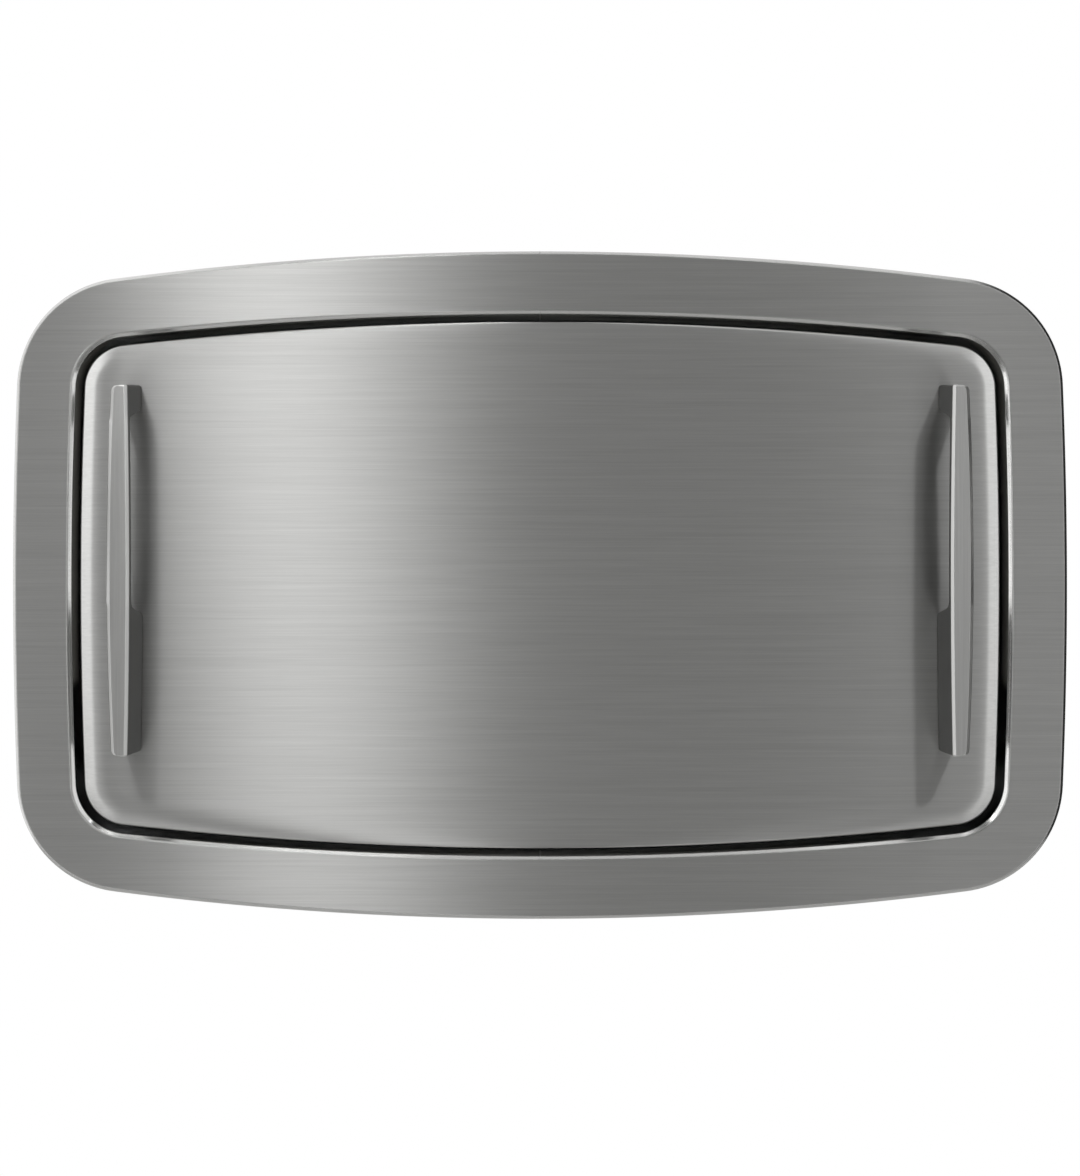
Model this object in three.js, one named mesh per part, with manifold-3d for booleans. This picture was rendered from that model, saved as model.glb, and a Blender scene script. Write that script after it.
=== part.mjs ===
// A recess-mounted baby changing station, folded shut in its wall box.
// Millimetres. X runs to the right, Y into the wall and Z up.
// The origin is the middle of the flange, on the face of the wall that it lies against.

import * as THREE from "three";
import { mergeVertices } from "three/addons/utils/BufferGeometryUtils.js";
import Module from "manifold-3d";

const wasm = await Module();
wasm.setup();

// Clearance between pieces that rest against each other
const CLEAR = 0.3;

// How far a cutting tool runs past the face that it cuts
const OVERCUT = 1;

// Door: the steel pan that closes the recess and carries the bed
const DOOR_WIDTH = 944;
const DOOR_HEIGHT = 540;
const DOOR_GAP = 7.5;
const PAN_SHEET = 1.5;
const PAN_ROLL = 14;
const PAN_DEPTH = 18;

// Opening that the door closes, with bowed edges
const OPENING_END_RISE = 29.4;
const OPENING_SIDE_RISE = 8;
const OPENING_CORNER = 53;

// Wall flange around the opening
const FLANGE_SIDE_STRIP = 60.5;
const FLANGE_END_STRIP = 64.5;
const FLANGE_END_RISE = 43.2;
const FLANGE_SIDE_RISE = 11.7;
const FLANGE_CORNER = 114;
const FLANGE_DEPTH = 8;
const FLANGE_SHEET = 2;
const HEM_BEND = 2.5;
const EDGE_SLANT = 4.6;
const HEM_WIDTH = 16;
const RETURN_BEND = 4;
const RETURN_DEPTH = 26;

// Sheet-metal box in the wall
const BOX_SHEET = 1.5;
const BOX_BACK_ROOM = 2.4;
const BOX_SIDE_ROOM = 12.5;
const BOX_END_ROOM = 6.5;
const BOX_CORNER = 40;
const BOX_LIP = 12;
const STUD_HOLE_RADIUS = 4;
const STUD_HOLE_PITCH = 190;

// Moulded panel on the back of the box
const PANEL_SHEET = 3;
const PANEL_RISE = 3;
const PANEL_CORNER = 24;
const PANEL_BORDER = 12;
const PANEL_TOP_ROOM = 30;
const PANEL_FOOT_ROOM = 18;

// Hinge, with its axis along X near the foot of the door
const HINGE_INSET = 60;
const HINGE_BEHIND_FRONT = 24;
const HINGE_RISE = 38;
const PIN_RADIUS = 6;
const BUSH_WALL = 3;
const BUSH_STAND = 2;
const NOSE_WALL = 5.7;
const NOSE_FROM = THREE.MathUtils.degToRad(-28);
const NOSE_TO = THREE.MathUtils.degToRad(112);
const BRACKET_PLATE = 6;
const BRACKET_BASE = 3;
const BRACKET_BASE_WIDTH = 36;
const BRACKET_UNDER = 4;
const EAR_PLATE = 5;
const EAR_GAP = 3;
const EAR_BACK = 20;
const EAR_FOOT = 31;
const ARM_WEB = 5;
const SLEEVE_RADIUS = 6.5;
const STOP_PIN_RADIUS = 4;

// Gas dampers: equal arms from the hinge axis to the anchor and to the stud
const DAMPER_INSET = 25;
const DAMPER_ARM = 79;
const ANCHOR_ANGLE = THREE.MathUtils.degToRad(14);
const STUD_ANGLE = THREE.MathUtils.degToRad(90);
const OPEN_ANGLE = THREE.MathUtils.degToRad(90);
const STUD_RADIUS = 4;
const STUD_COLLAR = 6;
const EYE_RADIUS = 7.5;
const EYE_WIDTH = 10;
const CYLINDER_RADIUS = 9;
const CYLINDER_BORE = 7;
const CYLINDER_TAIL = 3;
const PISTON = 5;
const GLAND = 6;
const DAMPER_CHAMFER = 2.2;
const ROD_RADIUS = 4;

// Pull handles
const HANDLE_EDGE = 45.5;
const HANDLE_WIDTH = 21.5;
const HANDLE_INNER_BULGE = 2;
const HANDLE_OUTER_BULGE = 4.5;
const HANDLE_DROP = 169;
const HANDLE_LENGTH = 373;
const HANDLE_REACH = 45;
const HANDLE_BAR = 9;
const HANDLE_RAKE = 7;
const HANDLE_FACE_CORNER = 6;
const GRIP_LENGTH = 194;
const GRIP_ABOVE_BOTTOM = 145;
const GRIP_FILLET = 9;
const GRIP_FOOT_RAKE = 5;
const GRIP_TOP_RAKE = 9;

// Steel frame inside the bed
const RAIL_WIDTH = 24;
const TOP_RAIL_WIDTH = 20;
const RAIL_DEPTH = 24;
const RAIL_SHEET = 2.5;
const RAIL_CORNER = 30;
const WEB_TONGUE = 36;
const LOWER_RAIL_ABOVE_AXIS = 3;

// Moulded bed tray
const TRAY_RIM = 53;
const TRAY_SHEET = 4;
const TRAY_RIM_ROLL = 8;
const TRAY_LAP = 2.5;
const TRAY_FIT = 0.5;
const NOTCH_INSIDE_HINGE = 22;
const NOTCH_ABOVE_ARM = 15.5;
const NOTCH_CORNER = 16;
const BASIN_DEPTH = 35;
const BASIN_CORNER = 62;
const BASIN_DRAFT = 18;
const BASIN_LIP = 8;
const BASIN_LAND = 10;
const BASIN_FILLET = 7;
const BASIN_RAIL_ROOM = 6;
const BOSS_RADIUS = 7;
const BOSS_SPREAD = 260;

// Safety strap and its cam buckle
const STRAP_WIDTH = 38;
const STRAP_THICK = 2.4;
const STRAP_END_ROOM = 14;
const ANCHOR_PLATE = 2.2;
const ANCHOR_LENGTH = 22;
const ANCHOR_OVERHANG = 6;
const BUCKLE_LENGTH = 46;
const BUCKLE_CHEEK = 3;
const BUCKLE_FLOOR = 2.4;
const BUCKLE_HEIGHT = 13;
const BUCKLE_PIN_RADIUS = 2.2;
const LEVER_LENGTH = 36;
const LEVER_THICK = 3.2;

// Liner bin with a hinged lid
const BIN_WIDTH = 280;
const BIN_HEIGHT = 112;
const BIN_DEPTH = 36;
const BIN_FOOT = 66;
const BIN_WALL = 3;
const BIN_CORNER = 14;
const SLOT_LENGTH = 150;
const SLOT_HEIGHT = 18;
const SLOT_CORNER = 8.2;
const SLOT_ABOVE_FOOT = 26;
const LID_PLATE = 3;
const LID_OVERHANG = 2;
const LID_LIP = 9;
const LID_PIN_RADIUS = 2.5;
const LID_BARREL_WALL = 2.5;
const LID_PIN_RISE = 6.5;
const LUG_WIDTH = 6;
const LUG_INSET = 12;

// Bag hooks
const HOOK_SPACING = 500;
const HOOK_TOP = 170;
const HOOK_HEIGHT = 56;
const HOOK_WIDTH = 16;
const HOOK_PLATE = 4;
const HOOK_BAR = 5;
const HOOK_THROAT = 20;
const HOOK_TIP = 30;

// Facets on round pieces
const ARC_STEPS = 4;
const CORNER_STEPS = 8;
const END_STEPS = 4;
const SIDE_STEPS = 2;
const ROUND = 16;
const SMALL_ROUND = 12;

const BRUSHED_STEEL = { color: 0xb4b5b4, roughness: 0.34, metalness: 1 };
const PLATED_STEEL = { color: 0x9a9ea2, roughness: 0.42, metalness: 1 };
const GALVANISED = { color: 0x8b9094, roughness: 0.5, metalness: 1 };
const CAST_HANDLE = { color: 0xa6a7a6, roughness: 0.4, metalness: 1 };
const GREY_PLASTIC = { color: 0xc9c8c2, roughness: 0.55, metalness: 0 };
const DARK_PLASTIC = { color: 0x2b2c2e, roughness: 0.5, metalness: 0 };
const BLACK_RUBBER = { color: 0x151515, roughness: 0.85, metalness: 0 };
const BLACK_PAINT = { color: 0x1d1e20, roughness: 0.4, metalness: 0.2 };
const WEBBING = { color: 0x33363b, roughness: 0.9, metalness: 0 };
const CHROME = { color: 0xd6d8da, roughness: 0.12, metalness: 1 };

// Places worked out from the driving sizes
const FRONT = -FLANGE_DEPTH;
const openingForm = bowedForm(
  DOOR_WIDTH / 2 + DOOR_GAP,
  DOOR_HEIGHT / 2 + DOOR_GAP,
  OPENING_END_RISE,
  OPENING_SIDE_RISE,
  OPENING_CORNER,
);
const flangeForm = bowedForm(
  openingForm.halfWidth + FLANGE_SIDE_STRIP,
  openingForm.halfHeight + FLANGE_END_STRIP,
  FLANGE_END_RISE,
  FLANGE_SIDE_RISE,
  FLANGE_CORNER,
);
const hinge = {
  x: DOOR_WIDTH / 2 - HINGE_INSET,
  y: FRONT + HINGE_BEHIND_FRONT,
  z: HINGE_RISE - doorEdge(DOOR_WIDTH / 2 - HINGE_INSET),
};
const damperX = DOOR_WIDTH / 2 - DAMPER_INSET;
const damperOffset = damperX - hinge.x;
const anchorPoint = polar(DAMPER_ARM, ANCHOR_ANGLE);
const studPoint = polar(DAMPER_ARM, STUD_ANGLE);
const boxBack = hinge.y + anchorPoint.x + EYE_RADIUS + BOX_BACK_ROOM;
const box = {
  halfWidth: openingForm.halfWidth + BOX_SIDE_ROOM,
  halfHeight: openingForm.halfHeight + BOX_END_ROOM,
  backFace: boxBack,
  depth: boxBack + BOX_SHEET,
};
const foldedLength = 2 * DAMPER_ARM * Math.sin((STUD_ANGLE - ANCHOR_ANGLE) / 2);
const openLength = 2 * DAMPER_ARM * Math.sin((STUD_ANGLE + OPEN_ANGLE - ANCHOR_ANGLE) / 2);
const earInner = BRACKET_PLATE / 2 + EAR_GAP;
const earOuter = earInner + EAR_PLATE;
const stopReach = EAR_BACK + SLEEVE_RADIUS + CLEAR;
const panelFace = box.backFace - CLEAR - PANEL_SHEET - PANEL_RISE;
const notchX = hinge.x - NOTCH_INSIDE_HINGE;
const armTop = DAMPER_ARM + EYE_RADIUS + STUD_RADIUS / 2;
const notchTop = hinge.z + armTop + NOTCH_ABOVE_ARM;
const rail = {
  front: FRONT + PAN_SHEET + CLEAR,
  back: FRONT + PAN_SHEET + CLEAR + RAIL_DEPTH,
  outer: hinge.x + RAIL_WIDTH / 2,
  inner: hinge.x - RAIL_WIDTH / 2,
  top: doorEdge(hinge.x) - PAN_ROLL - CLEAR,
  foot: notchTop + TRAY_SHEET + CLEAR,
};
const lowerRailTop = hinge.z + LOWER_RAIL_ABOVE_AXIS;
const rimY = FRONT + TRAY_RIM;
const floorY = rimY - BASIN_DEPTH;
const basin = {
  halfWidth: notchX - BASIN_LAND - BASIN_LIP,
  top: rail.top - TOP_RAIL_WIDTH - BASIN_RAIL_ROOM - TRAY_SHEET,
  bottom: lowerRailTop + BASIN_RAIL_ROOM + TRAY_SHEET,
};

/** Radius of an edge that rises by so much in its middle, over half its length. */
function bowRadius(half, rise) {
  return (half * half + rise * rise) / (2 * rise);
}

/** Sizes of a rounded rectangle with bowed edges, whose ends are the top and the bottom. */
function bowedForm(halfWidth, halfHeight, endRise, sideRise, corner) {
  const endBow = bowRadius(halfWidth, endRise);
  const sideBow = bowRadius(halfHeight, sideRise);
  return { halfWidth, halfHeight, endBow, sideBow, corner };
}

/** Height of the door's top edge at a distance x from its middle. */
function doorEdge(x) {
  const bow = openingForm.endBow - DOOR_GAP;
  return DOOR_HEIGHT / 2 - bow + Math.sqrt(bow * bow - x * x);
}

/** A point at an angle from the hinge axis, as Y and Z. */
function polar(radius, angle) {
  return new THREE.Vector2(radius * Math.cos(angle), radius * Math.sin(angle));
}

/** Points of an arc in a plane, both ends included. */
function arc(cx, cy, radius, from, to, steps) {
  return Array.from({ length: steps + 1 }, (_, i) => {
    const angle = from + ((to - from) * i) / steps;
    return new THREE.Vector2(cx + radius * Math.cos(angle), cy + radius * Math.sin(angle));
  });
}

/** Mirrors a quarter outline, from the side's middle to the top's middle, into a whole loop at one depth. */
function wholeLoop(quarter, y, centreZ = 0) {
  const half = [...quarter, ...quarter.slice(0, -1).reverse().map((p) => new THREE.Vector2(-p.x, p.y))];
  const under = half.slice(1, -1).reverse().map((p) => new THREE.Vector2(p.x, -p.y));
  return [...half, ...under].map((p) => new THREE.Vector3(p.x, y, p.y + centreZ));
}

/** A rounded rectangle whose four edges are bowed outwards, drawn in by an inset, at one depth. */
function bowedLoop(form, inset, y) {
  const endCentre = new THREE.Vector2(0, form.halfHeight - form.endBow);
  const sideCentre = new THREE.Vector2(form.halfWidth - form.sideBow, 0);
  const toEnd = form.endBow - form.corner;
  const toSide = form.sideBow - form.corner;
  const between = endCentre.clone().sub(sideCentre);
  const span = between.length();
  const along = (toSide * toSide - toEnd * toEnd + span * span) / (2 * span);
  const across = Math.sqrt(toSide * toSide - along * along);
  const unit = between.normalize();
  const corner = sideCentre.clone().addScaledVector(unit, along);
  corner.add(new THREE.Vector2(-unit.y, unit.x).multiplyScalar(across));
  const sideAngle = Math.atan2(corner.y - sideCentre.y, corner.x - sideCentre.x);
  const endAngle = Math.atan2(corner.y - endCentre.y, corner.x - endCentre.x);
  const side = arc(sideCentre.x, sideCentre.y, form.sideBow - inset, 0, sideAngle, SIDE_STEPS);
  const turn = arc(corner.x, corner.y, form.corner - inset, sideAngle, endAngle, CORNER_STEPS);
  const end = arc(endCentre.x, endCentre.y, form.endBow - inset, endAngle, Math.PI / 2, END_STEPS);
  return wholeLoop([...side, ...turn.slice(1), ...end.slice(1)], y);
}

/** A rounded rectangle drawn in by an inset, at one depth. */
function roundedLoop(halfWidth, halfHeight, corner, inset, y, centreZ = 0) {
  const turn = arc(halfWidth - corner, halfHeight - corner, corner - inset, 0, Math.PI / 2, CORNER_STEPS);
  const sideMiddle = new THREE.Vector2(halfWidth - inset, 0);
  const endMiddle = new THREE.Vector2(0, halfHeight - inset);
  return wholeLoop([sideMiddle, ...turn, endMiddle], y, centreZ);
}

/** Signed area of a loop or triangle seen along Y. */
function areaXZ(points) {
  return points.reduce((sum, p, i) => {
    const q = points[(i + 1) % points.length];
    return sum + (p.x * q.z - q.x * p.z) / 2;
  }, 0);
}

/** Skins matching loops into a closed body: capped at both ends, or joined last to first. */
function loft(loops, joinsUp = false) {
  const count = loops[0].length;
  const points = loops.flat();
  const index = [];
  const bands = joinsUp ? loops.length : loops.length - 1;
  for (let k = 0; k < bands; k += 1) {
    const a = k * count;
    const b = ((k + 1) % loops.length) * count;
    for (let i = 0; i < count; i += 1) {
      const j = (i + 1) % count;
      index.push(a + i, a + j, b + j, a + i, b + j, b + i);
    }
  }
  if (!joinsUp) {
    capLoop(loops[0], 0, -1, index);
    capLoop(loops.at(-1), (loops.length - 1) * count, 1, index);
  }
  const volume = index.reduce((sum, _, i) => {
    if (i % 3) return sum;
    const [p, q, r] = [points[index[i]], points[index[i + 1]], points[index[i + 2]]];
    return sum + p.dot(q.clone().cross(r));
  }, 0);
  const turned = volume < 0 ? index.reverse() : index;
  const geometry = new THREE.BufferGeometry();
  geometry.setFromPoints(points);
  geometry.setIndex(turned);
  return geometry;
}

/** Adds the flat triangles that close one loop, turned with the loop or against it. */
function capLoop(loop, first, sense, index) {
  const flat = loop.map((p) => new THREE.Vector2(p.x, p.z));
  const wanted = Math.sign(areaXZ(loop)) * sense;
  for (const [i, j, k] of THREE.ShapeUtils.triangulateShape(flat, [])) {
    const agrees = Math.sign(areaXZ([loop[i], loop[j], loop[k]])) === wanted;
    index.push(first + i, first + (agrees ? j : k), first + (agrees ? k : j));
  }
}

/** A closed geometry as a solid that can be cut and joined. */
function solid(geometry) {
  const bare = geometry.clone();
  bare.deleteAttribute("normal");
  bare.deleteAttribute("uv");
  const merged = mergeVertices(bare, 1e-4);
  const vertProperties = new Float32Array(merged.attributes.position.array);
  const triVerts = new Uint32Array(merged.index.array);
  return new wasm.Manifold(new wasm.Mesh({ numProp: 3, vertProperties, triVerts }));
}

/** The geometry of a solid. */
function skin(body) {
  const mesh = body.getMesh();
  const geometry = new THREE.BufferGeometry();
  geometry.setAttribute("position", new THREE.BufferAttribute(new Float32Array(mesh.vertProperties), 3));
  geometry.setIndex([...mesh.triVerts]);
  return geometry;
}

/** Joins geometries into one solid. */
function join(...geometries) {
  return geometries.map(solid).reduce((whole, piece) => whole.add(piece));
}

/** Cuts geometries out of a solid. */
function cut(body, ...geometries) {
  return geometries.map(solid).reduce((rest, tool) => rest.subtract(tool), body);
}

/** An outline in Y and Z, carried along X from one place to another. */
function plateAlongX(shape, from, to) {
  const settings = { depth: to - from, bevelEnabled: false, curveSegments: ARC_STEPS };
  const turn = new THREE.Matrix4().makeBasis(
    new THREE.Vector3(0, 1, 0),
    new THREE.Vector3(0, 0, 1),
    new THREE.Vector3(1, 0, 0),
  );
  return new THREE.ExtrudeGeometry(shape, settings).applyMatrix4(turn).translate(from, 0, 0);
}

/** An outline in X and Z, carried along Y from one depth to another. */
function plateAlongY(shape, from, to) {
  const settings = { depth: to - from, bevelEnabled: false, curveSegments: ARC_STEPS };
  return new THREE.ExtrudeGeometry(shape, settings).rotateX(Math.PI / 2).translate(0, to, 0);
}

/** An outline in X and Y, carried up from one height to another. */
function plateAlongZ(shape, from, to) {
  const settings = { depth: to - from, bevelEnabled: false, curveSegments: ARC_STEPS };
  return new THREE.ExtrudeGeometry(shape, settings).translate(0, 0, from);
}

/** A box between two corners. */
function block(low, high) {
  const size = high.map((v, i) => v - low[i]);
  const middle = high.map((v, i) => (v + low[i]) / 2);
  return new THREE.BoxGeometry(...size).translate(...middle);
}

/** A rectangle with rounded corners, as an outline. */
function roundedOutline(left, bottom, right, top, radius) {
  const shape = new THREE.Shape();
  shape.moveTo(left + radius, bottom);
  shape.lineTo(right - radius, bottom);
  shape.absarc(right - radius, bottom + radius, radius, -Math.PI / 2, 0, false);
  shape.lineTo(right, top - radius);
  shape.absarc(right - radius, top - radius, radius, 0, Math.PI / 2, false);
  shape.lineTo(left + radius, top);
  shape.absarc(left + radius, top - radius, radius, Math.PI / 2, Math.PI, false);
  shape.lineTo(left, bottom + radius);
  shape.absarc(left + radius, bottom + radius, radius, Math.PI, Math.PI * 1.5, false);
  return shape;
}

/** A stepped round bar along X, from its stations of place and radius; the ends are closed on the axis. */
function turnedAlongX(steps, facets = SMALL_ROUND) {
  const profile = [new THREE.Vector2(0, steps[0].from)];
  for (const step of steps) {
    profile.push(new THREE.Vector2(step.radius, step.from), new THREE.Vector2(step.radius, step.to));
  }
  profile.push(new THREE.Vector2(0, steps.at(-1).to));
  return new THREE.LatheGeometry(profile, facets).rotateZ(-Math.PI / 2);
}

/** A round bar along X. */
function barAlongX(radius, from, to, facets = SMALL_ROUND) {
  return turnedAlongX([{ radius, from, to }], facets);
}

/** A tube along X. */
function tubeAlongX(outer, inner, from, to, facets = ROUND) {
  const profile = [
    new THREE.Vector2(inner, from),
    new THREE.Vector2(outer, from),
    new THREE.Vector2(outer, to),
    new THREE.Vector2(inner, to),
    new THREE.Vector2(inner, from),
  ];
  return new THREE.LatheGeometry(profile, facets).rotateZ(-Math.PI / 2);
}

/** A named mesh with a material of its own. */
function piece(name, geometry, finish) {
  const mesh = new THREE.Mesh(geometry, new THREE.MeshStandardMaterial(finish));
  mesh.name = name;
  return mesh;
}

/** Flips a right-hand geometry to the left side. */
function handed(geometry, side) {
  if (side > 0) return geometry;
  const mirrored = geometry.clone().applyMatrix4(new THREE.Matrix4().makeScale(-1, 1, 1));
  const whole = mirrored.index ? mirrored.toNonIndexed() : mirrored;
  const position = whole.attributes.position;
  const turned = new Float32Array(position.array.length);
  for (let i = 0; i < position.count; i += 3) {
    [i, i + 2, i + 1].forEach((from, k) => {
      turned.set(position.array.subarray(from * 3, from * 3 + 3), (i + k) * 3);
    });
  }
  const geometryOut = new THREE.BufferGeometry();
  geometryOut.setAttribute("position", new THREE.BufferAttribute(turned, 3));
  return geometryOut;
}

/** Wall flange: one sheet, hemmed flat on the wall, slanted at the edge and turned back into the opening. */
function wallFlange() {
  const slant = EDGE_SLANT + FLANGE_SHEET * (Math.SQRT2 - 1);
  const quarter = Math.PI / 2;
  const outer = (points) => points.map((p) => bowedLoop(flangeForm, p.x, p.y));
  const inner = (points) => points.map((p) => bowedLoop(openingForm, p.x, p.y));
  const bendY = FRONT + RETURN_BEND;
  const at = (x, y) => [new THREE.Vector2(x, y)];
  const inside = HEM_BEND - FLANGE_SHEET;
  const loops = [
    ...outer(at(HEM_WIDTH, 0)),
    ...outer(arc(HEM_BEND, -HEM_BEND, HEM_BEND, quarter, Math.PI, 2)),
    ...outer(at(0, FRONT + EDGE_SLANT)),
    ...outer(at(EDGE_SLANT, FRONT)),
    ...inner(arc(-RETURN_BEND, bendY, RETURN_BEND, -quarter, 0, 3)),
    ...inner(at(0, RETURN_DEPTH)),
    ...inner(at(-FLANGE_SHEET, RETURN_DEPTH)),
    ...inner(arc(-RETURN_BEND, bendY, RETURN_BEND - FLANGE_SHEET, 0, -quarter, 2)),
    ...outer(at(slant, FRONT + FLANGE_SHEET)),
    ...outer(at(FLANGE_SHEET, FRONT + slant)),
    ...outer(arc(HEM_BEND, -HEM_BEND, inside, Math.PI, quarter, 2)),
    ...outer(at(HEM_WIDTH, -FLANGE_SHEET)),
  ];
  return loft(loops, true);
}

/** Box in the wall: a folded tub with a lip welded behind the flange and holes for the studs beside it. */
function wallBox() {
  const lipFront = FRONT + FLANGE_SHEET + CLEAR;
  const loop = (inset, y) => roundedLoop(box.halfWidth, box.halfHeight, BOX_CORNER, inset, y);
  const tub = loft([
    loop(0, box.backFace),
    loop(0, lipFront),
    loop(-BOX_SHEET - BOX_LIP, lipFront),
    loop(-BOX_SHEET - BOX_LIP, lipFront + BOX_SHEET),
    loop(-BOX_SHEET, lipFront + BOX_SHEET),
    loop(-BOX_SHEET, box.depth),
  ]);
  const reach = box.halfWidth + BOX_SHEET + BOX_LIP;
  const drills = [-1, 0, 1].map((row) =>
    barAlongX(STUD_HOLE_RADIUS, -reach, reach).translate(0, box.depth / 2, row * STUD_HOLE_PITCH),
  );
  return skin(cut(solid(tub), ...drills));
}

/** Moulded back panel: a sheet with a flat border and a raised field. */
function backPanel() {
  const back = box.backFace - CLEAR;
  const top = box.halfHeight - PANEL_TOP_ROOM;
  const foot = hinge.z + PANEL_FOOT_ROOM;
  const middle = (top + foot) / 2;
  const halfWidth = hinge.x - BRACKET_BASE_WIDTH / 2 - NOTCH_INSIDE_HINGE / 2;
  const loop = (inset, y) => roundedLoop(halfWidth, (top - foot) / 2, PANEL_CORNER, inset, y, middle);
  const bevel = PANEL_BORDER + PANEL_RISE * 2;
  return loft([
    loop(bevel + PANEL_SHEET, back - PANEL_RISE),
    loop(PANEL_BORDER + PANEL_SHEET, back),
    loop(0, back),
    loop(0, back - PANEL_SHEET),
    loop(PANEL_BORDER, back - PANEL_SHEET),
    loop(bevel, back - PANEL_SHEET - PANEL_RISE),
  ]);
}

/** Door skin: a pan with rolled edges and a short return. */
function doorSkin() {
  const edge = (points) => points.map((p) => bowedLoop(openingForm, DOOR_GAP + p.x, p.y));
  const rollY = FRONT + PAN_ROLL;
  const back = FRONT + PAN_DEPTH;
  const quarter = Math.PI / 2;
  return loft([
    ...edge(arc(PAN_ROLL, rollY, PAN_ROLL, -quarter, -Math.PI, ARC_STEPS)),
    ...edge([new THREE.Vector2(0, back), new THREE.Vector2(PAN_SHEET, back)]),
    ...edge(arc(PAN_ROLL, rollY, PAN_ROLL - PAN_SHEET, -Math.PI, -quarter, ARC_STEPS)),
  ]);
}

/** Hinge bracket, drawn from the hinge axis: a gooseneck plate on a base, bored for bush, stop and anchor. */
function hingeBracket() {
  const nose = PIN_RADIUS + BUSH_WALL + NOSE_WALL;
  const back = box.backFace - CLEAR - hinge.y;
  const shoulder = stopReach + STOP_PIN_RADIUS + NOSE_WALL;
  const baseTop = anchorPoint.y + shoulder;
  const baseFoot = -shoulder + BRACKET_UNDER;
  const outline = new THREE.Shape();
  outline.moveTo(nose * Math.cos(NOSE_FROM), nose * Math.sin(NOSE_FROM));
  outline.absarc(0, 0, nose, NOSE_FROM, NOSE_TO, true);
  outline.lineTo(stopReach - nose / 2, shoulder);
  outline.lineTo(stopReach + nose / 2, shoulder);
  outline.lineTo(back, baseTop - BRACKET_BASE);
  outline.lineTo(back, baseFoot + BRACKET_BASE);
  outline.lineTo(back - nose, -nose);
  outline.lineTo(HINGE_RISE + nose / 2, -BRACKET_UNDER);
  outline.lineTo(EAR_BACK, -BRACKET_UNDER);
  const half = BRACKET_PLATE / 2;
  const baseHalf = BRACKET_BASE_WIDTH / 2;
  const bracket = join(
    plateAlongX(outline, -half, half),
    block([-baseHalf, back - BRACKET_BASE, baseFoot], [baseHalf, back, baseTop]),
  );
  const through = half + OVERCUT;
  const bore = barAlongX(PIN_RADIUS + BUSH_WALL + CLEAR, -through, through, ROUND);
  const stop = barAlongX(STOP_PIN_RADIUS + CLEAR, -through, through).translate(0, stopReach, stopReach);
  const anchor = barAlongX(STUD_RADIUS + CLEAR, -through, through);
  anchor.translate(0, anchorPoint.x, anchorPoint.y);
  return skin(cut(bracket, bore, stop, anchor));
}

/** Nylon bush in the nose of a bracket. */
function hingeBush() {
  const half = BRACKET_PLATE / 2 + BUSH_STAND;
  return tubeAlongX(PIN_RADIUS + BUSH_WALL, PIN_RADIUS + CLEAR, -half, half);
}

/** Hinge pin through the two ears of an arm, with its head outside. */
function hingePin() {
  return turnedAlongX([
    { radius: PIN_RADIUS, from: -earOuter, to: earOuter + CLEAR },
    { radius: PIN_RADIUS + BUSH_WALL, from: earOuter + CLEAR, to: earOuter + CLEAR + BUSH_WALL },
  ], ROUND);
}

/** Stop pin through a bracket, under the rubber sleeve that meets the ear of the arm. */
function stopPin() {
  const half = BRACKET_PLATE / 2 + CLEAR;
  return turnedAlongX([
    { radius: SLEEVE_RADIUS, from: -half - STOP_PIN_RADIUS / 2, to: -half },
    { radius: STOP_PIN_RADIUS, from: -half, to: earOuter + CLEAR },
  ]);
}

/** Rubber sleeve on a stop pin. */
function stopSleeve() {
  return tubeAlongX(SLEEVE_RADIUS, STOP_PIN_RADIUS + CLEAR, BRACKET_PLATE / 2 + CLEAR, earOuter + CLEAR);
}

/** Shouldered stud that holds one end of a damper: it goes through a plate from near to far. */
function damperStud(near, far) {
  const eyeNear = damperOffset - EYE_WIDTH / 2 - CLEAR;
  const eyeFar = damperOffset + EYE_WIDTH / 2 + CLEAR;
  const head = STUD_RADIUS / 2;
  return turnedAlongX([
    { radius: STUD_RADIUS + head, from: near - CLEAR - head, to: near - CLEAR },
    { radius: STUD_RADIUS, from: near - CLEAR, to: far + CLEAR },
    { radius: STUD_COLLAR, from: far + CLEAR, to: eyeNear },
    { radius: STUD_RADIUS, from: eyeNear, to: eyeFar },
    { radius: STUD_RADIUS + head, from: eyeFar, to: eyeFar + head },
  ]);
}

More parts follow.
